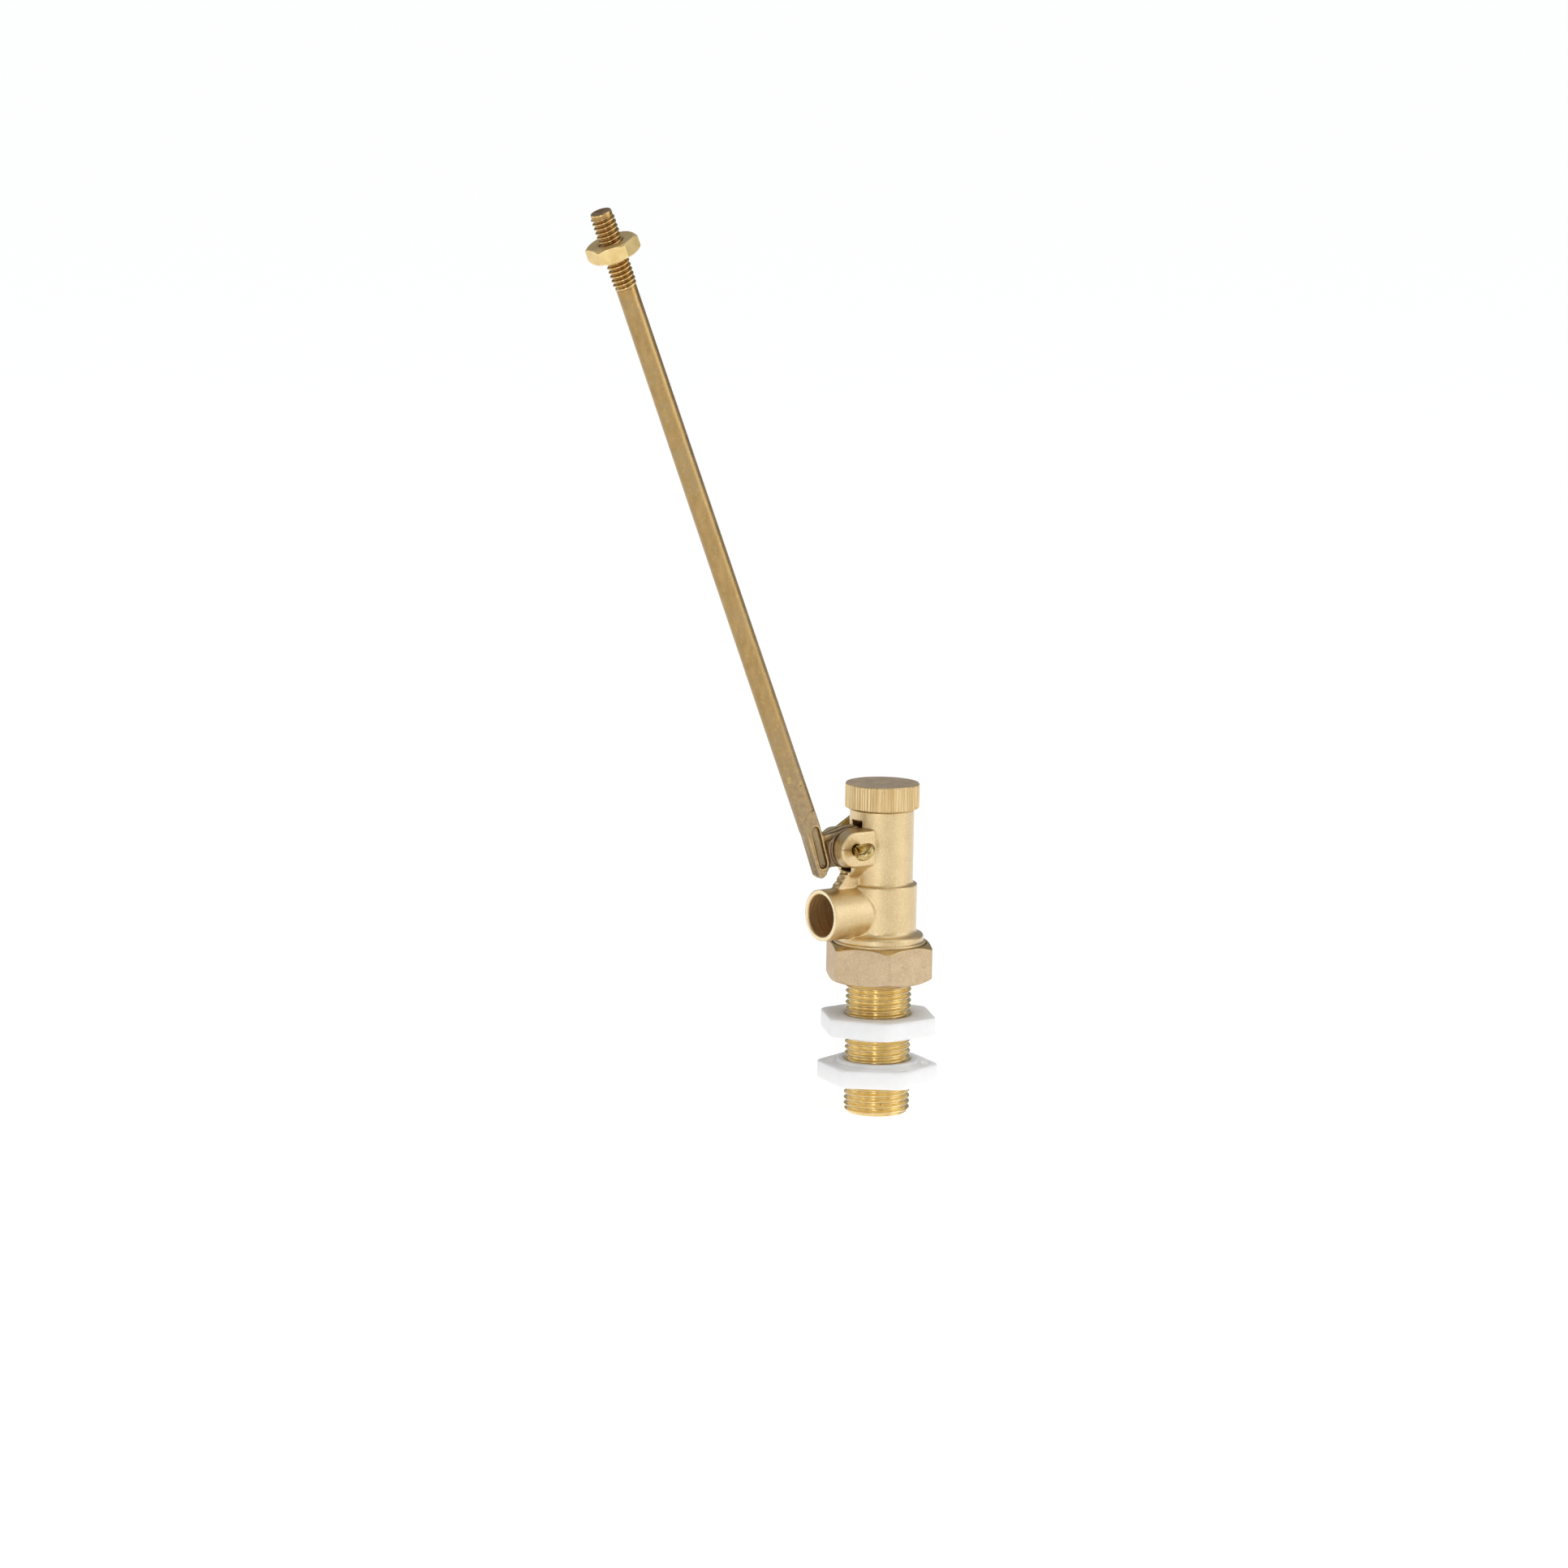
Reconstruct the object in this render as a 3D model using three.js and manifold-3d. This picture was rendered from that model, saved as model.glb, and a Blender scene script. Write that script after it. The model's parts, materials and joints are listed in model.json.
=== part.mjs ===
// Half-inch Portsmouth-pattern float valve in brass, with its lever arm and two plastic backnuts.
// Millimetres. The origin is the centre of the inlet tail's end face. +Z runs up the barrel to
// the end cap, the outlet tube and the lever are on the -X side, and the lever turns about Y.
import * as THREE from 'three';
import { mergeVertices } from 'three/addons/utils/BufferGeometryUtils.js';
import Module from 'manifold-3d';

const wasm = await Module();
wasm.setup();

// ---------------------------------------------------------------- driving dimensions
const GAP = 0.3; // clearance between pieces that touch
const ROUND = 40; // sides of a large turned surface
const MIDDLE = 36; // sides of a middling one
const FINE = 24; // sides of a small one
const ARC_STEPS = 12; // steps in each arc of a plate's outline
const CORNER_STEPS = 3; // steps in each soft corner of a prism
const OVER = 1; // how far a cutter runs past the surface it opens
const LAP = 1; // how far a shape runs into the one it is joined to

// Inlet tail: G 1/2 thread on a shank, with a collar that the union nut pulls up.
const TAIL = { thread: 10.45, tip: 9.6, chamfer: 1.0, bore: 7.0, collar: 12.9, collarThickness: 2.5 };

// Union nut: G 3/4 thread inside, an inner rim under the tail's collar.
const UNION = { base: 42.5, top: 54.8, flats: 31.3, rim: 2.5, hole: 10.8, thread: 13.5, turn: 3.3 };
const UNION_MOUTH = { radius: 15.0, depth: 1.0 };
const UNION_CHAMFER = { foot: 14.9, footHeight: 1.7, head: 15.6, headHeight: 1.4 };

// Sealing ring and seat, both held between the tail's collar and the body.
const WASHER = { outer: 12.6, inner: 8.0, thickness: 1.5 };
const SEAT = { flange: 9.3, flangeThickness: 1.7, stem: 6.0, tip: 3.4, orifice: 1.6, bore: 3.5 };
const SEAT_SHOULDER = 59.0; // where the seat's stem starts to narrow
const SEAT_TIP_LENGTH = 1.8;
const SEAT_LIFT = 0.1; // seat's flange above the body's foot

// Body casting.
const BARREL = { radius: 10.2, bore: 6.65, shoulder: 73.6, top: 103.2, thread: 9.6 };
const CHAMBER = { radius: 11.57, hollow: 8.0, floor: 57.0, roof: 73.8, roofRise: 1.0 };
const FLANGE = { radius: 14.6, crown: 13.95, rim: 1.5, crownBase: 56.2, crownTop: 57.5, end: 59.6 };
const FLANGE_FILLET = { in: 0.8, up: 1.1, foot: 0.3, footUp: 0.9 };
const SHOULDER_EDGE = { in: 0.4, down: 0.6, rise: 0.3 };
const SPIGOT = { thread: 13.2, counterbore: 9.6, counterboreDepth: 2.1, seatHole: 6.3 };
const OUTLET = { height: 65.37, reach: 23.6, radius: 8.2, bore: 6.7 };

// Lever pivot: two lugs on the body, a slot between them and a split pin through them.
const PIVOT = { x: -14.8, z: 86.6 };
const LUG = { radius: 6.2, halfWidth: 6.8, pinHole: 1.8 };
const SLOT = { halfWidth: 2.6, base: 78.9, top: 94.4 };
const RIB = { halfWidth: 1.9, topX: -14.6, footX: -18.1, gussetBase: 76.2, gussetHalfWidth: 5.4 };

// End cap.
const CAP = { radius: 11.75, base: 98.05, top: 105.85, cavity: 9.9, knurls: 60, knurlDepth: 0.3 };
const CAP_SKIN = 2.3; // metal above the cavity
const CAP_CHAMFER = { in: 0.5, up: 0.5, out: 0.1 };

// Piston: slotted body, a screwed cap at its foot and the rubber washer inside that cap.
const PISTON = { radius: 6.35, spigot: 4.7, capTop: 77.5, top: 101.5 };
const PISTON_SLOT = { halfWidth: 2.5, depth: 4.0 };
const PISTON_CHAMFER = 0.8;
const FINGER_PLAY = 0.35; // room above and below the finger's tip in the piston's slot
const PISTON_CAP = { foot: 68.2, lip: 1.0, mouth: 4.2, pocket: 5.2, thread: 5.0 };
const PISTON_WASHER = { radius: 4.9, thickness: 3.1 };
const TRAVEL = 5.8; // piston stroke from open to closed

// Lever. It is drawn in the closed attitude, rod upright, about the pivot, and then leans over.
const LEAN = 22.87; // degrees from upright when the valve is fully open
const ROD = { offset: 9.8, radius: 3.42, neck: 3.22, thread: 3.65, pilot: 3.3 };
const ROD_ENDS = { taperStart: 60, threadStart: 198.4, runOut: 1, pilotLength: 1.5, tip: 224.2 };
const ROD_CHAMFER = 0.5;
const ROD_ROOT = { point: 4, full: 1 }; // how far the rod runs down into the flattened head
const HEAD = { halfThickness: 2.15, topHalfWidth: 2.6, footHalfWidth: 3.2, foot: -4.6, flatTop: 17.6 };
const HEAD_CORNER = 1.0;
const HEAD_CURVE = { heelRise: 0.5, toeIn: 1.4, toeZ: -1.6, ankleIn: 0.6, ankleZ: 0.5 };
const HEAD_SHIN = { in: 0.4, z: 6, bulgeZ: 10 };
const WEB = { halfThickness: 1.6, top: 9.4, foot: -2.6, topIn: 1.5, footIn: 2.0 };
const WEB_ROOT = { x: -2, foot: -5, top: 5.4 };
const EYE = { radius: 6.4, halfThickness: 2.25, hole: 1.85 };
const FINGER = { length: 14.6, tip: 3.0, neck: 1.95, neckAt: 8.1, throat: 11.7, throatHalf: 2.45 };
const FINGER_TIP_SWEEP = 126; // degrees that the tip's arc turns to each side
const FINGER_SHOULDER = [[7.0, 3.0], [5.9, 4.9], [4.9, 5.8], [1.3, 6.4], [0, 6.2]]; // above the neck
const FINGER_UNDERSIDE = [[0, -5.8], [5.6, -3.1]];
const POCKET = { top: 12.4, base: -2.6, halfWidth: 1.9, depth: 0.9, corner: 1.71 };

// Float locknut on the lever's thread.
const LOCKNUT = { flats: 14.5, thickness: 4.8, centre: 212.0, hole: 3.95, chamfer: 0.65, turn: 23 };

// Split pin: two half-round legs, bent in a plane that leans about Y.
const PIN = { radius: 1.5, split: 0.06, lean: 38 };
const PIN_EYE = { start: -6.9, spread: 4.3, halfWidth: 1.95 };
const PIN_LEG = { turnStart: 8.2, bend: 3.2, turn: 88 };
const LONG_LEG = { side: 1, length: 11.8, twist: -10 };
const SHORT_LEG = { side: -1, length: 3, twist: -10 };
const PIN_STEPS = { arc: 6, sweep: 80, section: 7 };

// Plastic backnuts.
const BACKNUT = { flats: 34.0, corner: 1.7, hole: 10.8 };
const UPPER_NUT = { base: 26.0, top: 31.75, turn: 3.1, bossRadius: 12.9, boss: 1.3, bossAbove: false };
const LOWER_NUT = { base: 10.3, top: 15.9, turn: 18.9, bossRadius: 12.9, boss: 1.3, bossAbove: true };

// ---------------------------------------------------------------- materials
const metal = (color, roughness) => new THREE.MeshStandardMaterial({ color, roughness, metalness: 1 });
const plain = (color, roughness) => new THREE.MeshStandardMaterial({ color, roughness, metalness: 0 });
const MATERIALS = {
  castBrass: metal(0xd9bd83, 0.55),
  turnedBrass: metal(0xc9a24e, 0.3),
  blastedBrass: metal(0xc8ae87, 0.65),
  leverBrass: metal(0xb08d55, 0.4),
  pistonBrass: metal(0x8c4a2a, 0.5),
  nylon: plain(0xeeeeee, 0.45),
  rubber: plain(0x26221f, 0.8),
  fibre: plain(0x8a2f22, 0.85),
};

// ---------------------------------------------------------------- solids
function solidFrom(geometry) {
  const bare = geometry.clone();
  bare.deleteAttribute('normal');
  bare.deleteAttribute('uv');
  const merged = mergeVertices(bare, 1e-4);
  return new wasm.Manifold(
    new wasm.Mesh({
      numProp: 3,
      vertProperties: new Float32Array(merged.attributes.position.array),
      triVerts: new Uint32Array(merged.index.array),
    }),
  );
}

function geometryFrom(solid) {
  const mesh = solid.getMesh();
  const geometry = new THREE.BufferGeometry();
  geometry.setAttribute('position', new THREE.BufferAttribute(mesh.vertProperties, 3));
  geometry.setIndex(new THREE.BufferAttribute(mesh.triVerts, 1));
  geometry.computeVertexNormals();
  return geometry;
}

function joined(first, ...others) {
  return others.reduce((sum, other) => sum.add(other), first);
}

function without(first, ...cutters) {
  return cutters.reduce((rest, cutter) => rest.subtract(cutter), first);
}

// Surface of revolution about the upright axis at x, from [radius, height] points that rise
// along the outside.
function turned(points, sides = ROUND, x = 0) {
  const profile = points.map(([radius, height]) => new THREE.Vector2(radius, height));
  const geometry = new THREE.LatheGeometry(profile, sides);
  geometry.rotateX(Math.PI / 2);
  geometry.translate(x, 0, 0);
  return solidFrom(geometry);
}

// Solid upright bar between two heights.
function bar(radius, base, top, sides = ROUND, x = 0) {
  return turned([[0, base], [radius, base], [radius, top], [0, top]], sides, x);
}

// Ring about Z: its profile closes on itself.
function ring(outer, inner, base, top, sides = ROUND) {
  return turned([[inner, base], [outer, base], [outer, top], [inner, top], [inner, base]], sides);
}

// Round bar along Y or X, from a geometry built about the origin.
function barAlong(axis, radius, from, to, centre, sides = ROUND) {
  const geometry = new THREE.CylinderGeometry(radius, radius, to - from, sides);
  if (axis === 'x') {
    geometry.rotateZ(Math.PI / 2);
    geometry.translate((from + to) / 2, centre[0], centre[1]);
  } else {
    geometry.translate(centre[0], (from + to) / 2, centre[1]);
  }
  return solidFrom(geometry);
}

function block(x0, x1, halfY, z0, z1) {
  const geometry = new THREE.BoxGeometry(x1 - x0, 2 * halfY, z1 - z0);
  geometry.translate((x0 + x1) / 2, 0, (z0 + z1) / 2);
  return solidFrom(geometry);
}

// Plate with its outline drawn in X and Z, centred on the plane at y.
function plate(outline, halfThickness, y = 0) {
  const geometry = new THREE.ExtrudeGeometry(outline, {
    depth: 2 * halfThickness,
    bevelEnabled: false,
    curveSegments: ARC_STEPS,
  });
  geometry.rotateX(Math.PI / 2);
  geometry.translate(0, y + halfThickness, 0);
  return solidFrom(geometry);
}

function outlineOf(points) {
  return new THREE.Shape(points.map(([x, z]) => new THREE.Vector2(x, z)));
}

// Polygon with each corner rounded by a short curve.
function softOutline(points, radius) {
  const shape = new THREE.Shape();
  points.forEach((point, index) => {
    const here = new THREE.Vector2(...point);
    const before = new THREE.Vector2(...points.at(index - 1));
    const after = new THREE.Vector2(...points[(index + 1) % points.length]);
    const start = here.clone().add(before.sub(here).setLength(radius));
    const end = here.clone().add(after.sub(here).setLength(radius));
    if (index === 0) shape.moveTo(start.x, start.y);
    else shape.lineTo(start.x, start.y);
    shape.quadraticCurveTo(here.x, here.y, end.x, end.y);
  });
  shape.closePath();
  return shape;
}

function hexPoints(flats, turn) {
  const corner = flats / Math.sqrt(3);
  return Array.from({ length: 6 }, (_, index) => {
    const angle = THREE.MathUtils.degToRad(turn + 60 * index);
    return [corner * Math.cos(angle), corner * Math.sin(angle)];
  });
}

// Upright prism over an outline drawn in X and Y about the axis at x.
function prism(outline, base, top, x = 0) {
  const geometry = new THREE.ExtrudeGeometry(outline, {
    depth: top - base,
    bevelEnabled: false,
    curveSegments: CORNER_STEPS,
  });
  geometry.translate(x, 0, base);
  return solidFrom(geometry);
}

// ---------------------------------------------------------------- heights that follow
const rad = THREE.MathUtils.degToRad;
const collarBase = UNION.base + UNION.rim + GAP;
const collarTop = collarBase + TAIL.collarThickness;
const washerBase = collarTop + GAP;
const bodyBase = washerBase + WASHER.thickness + GAP;
const seatBase = bodyBase + SEAT_LIFT;
const flangeBase = UNION.top - UNION_MOUTH.depth + GAP;
const pistonWasherBase = PISTON_CAP.foot + PISTON_CAP.lip + GAP;
const pistonWasherTop = pistonWasherBase + PISTON_WASHER.thickness;
const seatTip = pistonWasherBase - TRAVEL - GAP;
const fingerTipZ = PIVOT.z + FINGER.length * Math.sin(rad(LEAN / 2));

// ---------------------------------------------------------------- pieces
function bodySolid() {
  const casting = turned([
    [0, bodyBase],
    [SPIGOT.thread, bodyBase],
    [SPIGOT.thread, flangeBase],
    [FLANGE.radius, flangeBase],
    [FLANGE.radius, flangeBase + FLANGE.rim],
    [FLANGE.crown, FLANGE.crownBase],
    [FLANGE.crown, FLANGE.crownTop],
    [FLANGE.crown - FLANGE_FILLET.in, FLANGE.crownTop + FLANGE_FILLET.up],
    [CHAMBER.radius + FLANGE_FILLET.foot, FLANGE.end - FLANGE_FILLET.footUp],
    [CHAMBER.radius, FLANGE.end],
    [CHAMBER.radius, BARREL.shoulder - SHOULDER_EDGE.down],
    [CHAMBER.radius - SHOULDER_EDGE.in, BARREL.shoulder],
    [BARREL.radius, BARREL.shoulder + SHOULDER_EDGE.rise],
    [BARREL.radius, CAP.base - GAP],
    [BARREL.thread, CAP.base - GAP],
    [BARREL.thread, BARREL.top],
    [0, BARREL.top],
  ]);
  const outlet = barAlong('x', OUTLET.radius, -OUTLET.reach, 0, [0, OUTLET.height]);
  const hollow = turned([
    [0, bodyBase - OVER],
    [SPIGOT.counterbore, bodyBase - OVER],
    [SPIGOT.counterbore, bodyBase + SPIGOT.counterboreDepth],
    [SPIGOT.seatHole, bodyBase + SPIGOT.counterboreDepth],
    [SPIGOT.seatHole, CHAMBER.floor],
    [CHAMBER.hollow, CHAMBER.floor],
    [CHAMBER.hollow, CHAMBER.roof],
    [BARREL.bore, CHAMBER.roof + CHAMBER.roofRise],
    [BARREL.bore, BARREL.top + OVER],
    [0, BARREL.top + OVER],
  ]);
  const outletBore = barAlong('x', OUTLET.bore, -OUTLET.reach - OVER, 0, [0, OUTLET.height]);
  const slotStart = PIVOT.x - LUG.radius - OVER;
  const slot = block(slotStart, -BARREL.bore / 2, SLOT.halfWidth, SLOT.base, SLOT.top);
  const pinReach = LUG.halfWidth + OVER;
  const pinHole = barAlong('y', LUG.pinHole, -pinReach, pinReach, [PIVOT.x, PIVOT.z], FINE);
  const solid = joined(casting, outlet, lugBlock(), ribPlate(), gussetBlock());
  return without(solid, hollow, outletBore, slot, pinHole);
}

// The two lugs as one block, before the slot parts them.
function lugBlock() {
  const outline = new THREE.Shape();
  outline.moveTo(-BARREL.bore, PIVOT.z + LUG.radius);
  outline.lineTo(PIVOT.x, PIVOT.z + LUG.radius);
  outline.absarc(PIVOT.x, PIVOT.z, LUG.radius, Math.PI / 2, (3 * Math.PI) / 2, false);
  outline.lineTo(-BARREL.bore, PIVOT.z - LUG.radius);
  outline.closePath();
  return plate(outline, LUG.halfWidth);
}

// Rib from the outlet tube up to the lugs, with its sloping end.
function ribPlate() {
  const foot = OUTLET.height + OUTLET.radius - LAP;
  const outline = outlineOf([
    [RIB.footX, foot],
    [-BARREL.bore - LAP, foot],
    [-BARREL.bore - LAP, SLOT.base + LAP],
    [RIB.topX, SLOT.base + LAP],
  ]);
  return plate(outline, RIB.halfWidth);
}

// Wedge that widens the rib into the underside of both lugs.
function gussetBlock() {
  const outline = outlineOf([
    [-RIB.halfWidth, RIB.gussetBase],
    [RIB.halfWidth, RIB.gussetBase],
    [RIB.gussetHalfWidth, PIVOT.z - LUG.radius + LAP / 2],
    [-RIB.gussetHalfWidth, PIVOT.z - LUG.radius + LAP / 2],
  ]);
  const length = -BARREL.bore - LAP - PIVOT.x;
  const geometry = new THREE.ExtrudeGeometry(outline, { depth: length, bevelEnabled: false });
  geometry.rotateX(Math.PI / 2);
  geometry.rotateZ(Math.PI / 2);
  geometry.translate(PIVOT.x, 0, 0);
  return solidFrom(geometry);
}

function capSolid() {
  const outline = new THREE.Shape();
  for (let index = 0; index < 2 * CAP.knurls; index += 1) {
    const radius = CAP.radius - (index % 2) * CAP.knurlDepth;
    const angle = (Math.PI * index) / CAP.knurls;
    const x = radius * Math.cos(angle);
    const y = radius * Math.sin(angle);
    if (index === 0) outline.moveTo(x, y);
    else outline.lineTo(x, y);
  }
  outline.closePath();
  const envelope = turned([
    [0, CAP.base],
    [CAP.radius - CAP_CHAMFER.in, CAP.base],
    [CAP.radius + CAP_CHAMFER.out, CAP.base + CAP_CHAMFER.up],
    [CAP.radius + CAP_CHAMFER.out, CAP.top - CAP_CHAMFER.up],
    [CAP.radius - CAP_CHAMFER.in, CAP.top],
    [0, CAP.top],
  ]);
  const knurled = prism(outline, CAP.base, CAP.top).intersect(envelope);
  return without(knurled, bar(CAP.cavity, CAP.base - OVER, CAP.top - CAP_SKIN));
}

function tailSolid() {
  return turned([
    [TAIL.bore, 0],
    [TAIL.tip, 0],
    [TAIL.thread, TAIL.chamfer],
    [TAIL.thread, collarBase],
    [TAIL.collar, collarBase],
    [TAIL.collar, collarTop],
    [TAIL.bore, collarTop],
    [TAIL.bore, 0],
  ]);
}

function unionNutSolid() {
  const envelope = turned([
    [0, UNION.base],
    [UNION_CHAMFER.foot, UNION.base],
    [UNION.flats / Math.sqrt(3), UNION.base + UNION_CHAMFER.footHeight],
    [UNION.flats / Math.sqrt(3), UNION.top - UNION_CHAMFER.headHeight],
    [UNION_CHAMFER.head, UNION.top],
    [0, UNION.top],
  ]);
  const hex = prism(outlineOf(hexPoints(UNION.flats, UNION.turn)), UNION.base, UNION.top);
  const hollow = turned([
    [0, UNION.base - OVER],
    [UNION.hole, UNION.base - OVER],
    [UNION.hole, UNION.base + UNION.rim],
    [UNION.thread, UNION.base + UNION.rim],
    [UNION.thread, UNION.top - UNION_MOUTH.depth],
    [UNION_MOUTH.radius, UNION.top - UNION_MOUTH.depth],
    [UNION_MOUTH.radius, UNION.top + OVER],
    [0, UNION.top + OVER],
  ]);
  return without(hex.intersect(envelope), hollow);
}

function unionWasherSolid() {
  return ring(WASHER.outer, WASHER.inner, washerBase, washerBase + WASHER.thickness);
}

function seatSolid() {
  const tipBase = seatTip - SEAT_TIP_LENGTH;
  return turned([
    [SEAT.bore, seatBase],
    [SEAT.flange, seatBase],
    [SEAT.flange, seatBase + SEAT.flangeThickness],
    [SEAT.stem, seatBase + SEAT.flangeThickness],
    [SEAT.stem, SEAT_SHOULDER],
    [SEAT.tip, tipBase],
    [SEAT.tip, seatTip],
    [SEAT.orifice, seatTip],
    [SEAT.orifice, tipBase],
    [SEAT.bore, tipBase - SEAT_TIP_LENGTH],
    [SEAT.bore, seatBase],
  ], MIDDLE);
}

function pistonBodySolid() {
  const turnedBody = turned([
    [0, pistonWasherTop + GAP],
    [PISTON.spigot, pistonWasherTop + GAP],
    [PISTON.spigot, PISTON.capTop + GAP],
    [PISTON.radius, PISTON.capTop + GAP],
    [PISTON.radius, PISTON.top - PISTON_CHAMFER],
    [PISTON.radius - PISTON_CHAMFER, PISTON.top],
    [0, PISTON.top],
  ]);
  const reach = FINGER.tip + FINGER_PLAY;
  const slot = block(
    -PISTON.radius - OVER,
    PISTON_SLOT.depth,
    PISTON_SLOT.halfWidth,
    fingerTipZ - reach,
    fingerTipZ + reach,
  );
  return without(turnedBody, slot);
}

function pistonCapSolid() {
  return turned([
    [PISTON_CAP.mouth, PISTON_CAP.foot],
    [PISTON.radius, PISTON_CAP.foot],
    [PISTON.radius, PISTON.capTop],
    [PISTON_CAP.thread, PISTON.capTop],
    [PISTON_CAP.thread, pistonWasherTop],
    [PISTON_CAP.pocket, pistonWasherTop],
    [PISTON_CAP.pocket, PISTON_CAP.foot + PISTON_CAP.lip],
    [PISTON_CAP.mouth, PISTON_CAP.foot + PISTON_CAP.lip],
    [PISTON_CAP.mouth, PISTON_CAP.foot],
  ]);
}

function pistonWasherSolid() {
  return bar(PISTON_WASHER.radius, pistonWasherBase, pistonWasherTop, MIDDLE);
}

// Finger outline along its own axis, from the eye to the rounded tip in the piston's slot.
function fingerPlate() {
  const outline = new THREE.Shape();
  outline.moveTo(0, 0);
  FINGER_UNDERSIDE.forEach(([x, z]) => outline.lineTo(x, z));
  outline.lineTo(FINGER.neckAt, -FINGER.neck);
  outline.lineTo(FINGER.throat, -FINGER.throatHalf);
  const sweep = rad(FINGER_TIP_SWEEP);
  outline.absarc(FINGER.length, 0, FINGER.tip, -sweep, sweep, false);
  outline.lineTo(FINGER.throat, FINGER.throatHalf);
  outline.lineTo(FINGER.neckAt, FINGER.neck);
  FINGER_SHOULDER.forEach(([x, z]) => outline.lineTo(x, z));
  outline.closePath();
  const geometry = new THREE.ExtrudeGeometry(outline, {
    depth: 2 * HEAD.halfThickness,
    bevelEnabled: false,
    curveSegments: ARC_STEPS,
  });
  geometry.rotateX(Math.PI / 2);
  geometry.translate(0, HEAD.halfThickness, 0);
  geometry.rotateY(rad(LEAN / 2));
  return solidFrom(geometry);
}

// Rod, flattened head, web and eye, drawn upright about the pivot.
function leverSolid() {
  const threadEnd = ROD_ENDS.tip - ROD_ENDS.pilotLength;
  const rod = turned([
    [0, HEAD.flatTop - ROD_ROOT.point],
    [ROD.radius, HEAD.flatTop - ROD_ROOT.full],
    [ROD.radius, ROD_ENDS.taperStart],
    [ROD.neck, ROD_ENDS.threadStart],
    [ROD.thread, ROD_ENDS.threadStart + ROD_ENDS.runOut],
    [ROD.thread, threadEnd - ROD_CHAMFER],
    [ROD.pilot, threadEnd],
    [ROD.pilot, ROD_ENDS.tip - ROD_CHAMFER],
    [ROD.pilot - ROD_CHAMFER, ROD_ENDS.tip],
    [0, ROD_ENDS.tip],
  ], FINE, -ROD.offset);
  const outer = -ROD.offset - HEAD.footHalfWidth;
  const inner = -ROD.offset + HEAD.topHalfWidth;
  const headOutline = softOutline([
    [outer, HEAD.foot],
    [outer + HEAD.topHalfWidth, HEAD.foot + HEAD_CURVE.heelRise],
    [inner - HEAD_CURVE.toeIn, HEAD_CURVE.toeZ],
    [inner - HEAD_CURVE.ankleIn, HEAD_CURVE.ankleZ],
    [inner - HEAD_SHIN.in, HEAD_SHIN.z],
    [inner + HEAD_SHIN.in, HEAD_SHIN.bulgeZ],
    [inner, HEAD.flatTop],
    [-ROD.offset - HEAD.topHalfWidth, HEAD.flatTop],
  ], HEAD_CORNER);
  const webOutline = outlineOf([
    [inner - WEB.footIn, WEB.foot],
    [WEB_ROOT.x, WEB_ROOT.foot],
    [WEB_ROOT.x, WEB_ROOT.top],
    [inner - WEB.topIn, WEB.top],
  ]);
  const head = plate(headOutline, HEAD.halfThickness);
  const web = plate(webOutline, WEB.halfThickness);
  const eye = barAlong('y', EYE.radius, -EYE.halfThickness, EYE.halfThickness, [0, 0]);
  const holeReach = EYE.halfThickness + OVER;
  const hole = barAlong('y', EYE.hole, -holeReach, holeReach, [0, 0], FINE);
  const forging = joined(rod, head, web, eye, fingerPlate());
  return without(forging, hole, pocketCutter(-1), pocketCutter(1));
}

// Long dished pocket in one face of the lever's head.
function pocketCutter(side) {
  const outline = softOutline([
    [-ROD.offset - POCKET.halfWidth, POCKET.base],
    [-ROD.offset + POCKET.halfWidth, POCKET.base],
    [-ROD.offset + POCKET.halfWidth, POCKET.top],
    [-ROD.offset - POCKET.halfWidth, POCKET.top],
  ], POCKET.corner);
  const middle = side * (HEAD.halfThickness - POCKET.depth / 2 + OVER / 2);
  return plate(outline, (POCKET.depth + OVER) / 2, middle);
}

function locknutSolid() {
  const base = LOCKNUT.centre - LOCKNUT.thickness / 2;
  const top = LOCKNUT.centre + LOCKNUT.thickness / 2;
  const corner = LOCKNUT.flats / Math.sqrt(3);
  const envelope = turned([
    [0, base],
    [LOCKNUT.flats / 2, base],
    [corner, base + LOCKNUT.chamfer],
    [corner, top - LOCKNUT.chamfer],
    [LOCKNUT.flats / 2, top],
    [0, top],
  ], ROUND, -ROD.offset);
  const hex = prism(outlineOf(hexPoints(LOCKNUT.flats, LOCKNUT.turn)), base, top, -ROD.offset);
  const hole = bar(LOCKNUT.hole, base - OVER, top + OVER, FINE, -ROD.offset);
  return without(hex.intersect(envelope), hole);
}

// One leg's centre line from its free end to where the eye's round end begins. The leg turns
// away from the other one, in a plane that its twist leans about Y.
function pinLeg({ side, length, twist }) {
  const lean = rad(twist);
  const turn = rad(PIN_LEG.turn);
  const bent = (across, along) =>
    new THREE.Vector3(side * across * Math.cos(lean), along, side * across * Math.sin(lean));
  const onBend = (angle, beyond = 0) => bent(
    PIN.split + PIN_LEG.bend * (1 - Math.cos(angle)) + beyond * Math.sin(angle),
    PIN_LEG.turnStart + PIN_LEG.bend * Math.sin(angle) + beyond * Math.cos(angle),
  );
  const points = [onBend(turn, length), onBend(turn, length / 2)];
  for (let step = PIN_STEPS.arc; step >= 0; step -= 1) {
    points.push(onBend((turn * step) / PIN_STEPS.arc));
  }
  points.push(new THREE.Vector3(side * PIN.split, 0, 0));
  const opening = PIN_EYE.halfWidth - PIN.split;
  for (let step = 0; step <= PIN_STEPS.arc; step += 1) {
    const part = step / PIN_STEPS.arc;
    const across = PIN.split + opening * (1 - Math.cos(Math.PI * part)) / 2;
    points.push(new THREE.Vector3(side * across, PIN_EYE.start - PIN_EYE.spread * part, 0));
  }
  return points;
}

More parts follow.
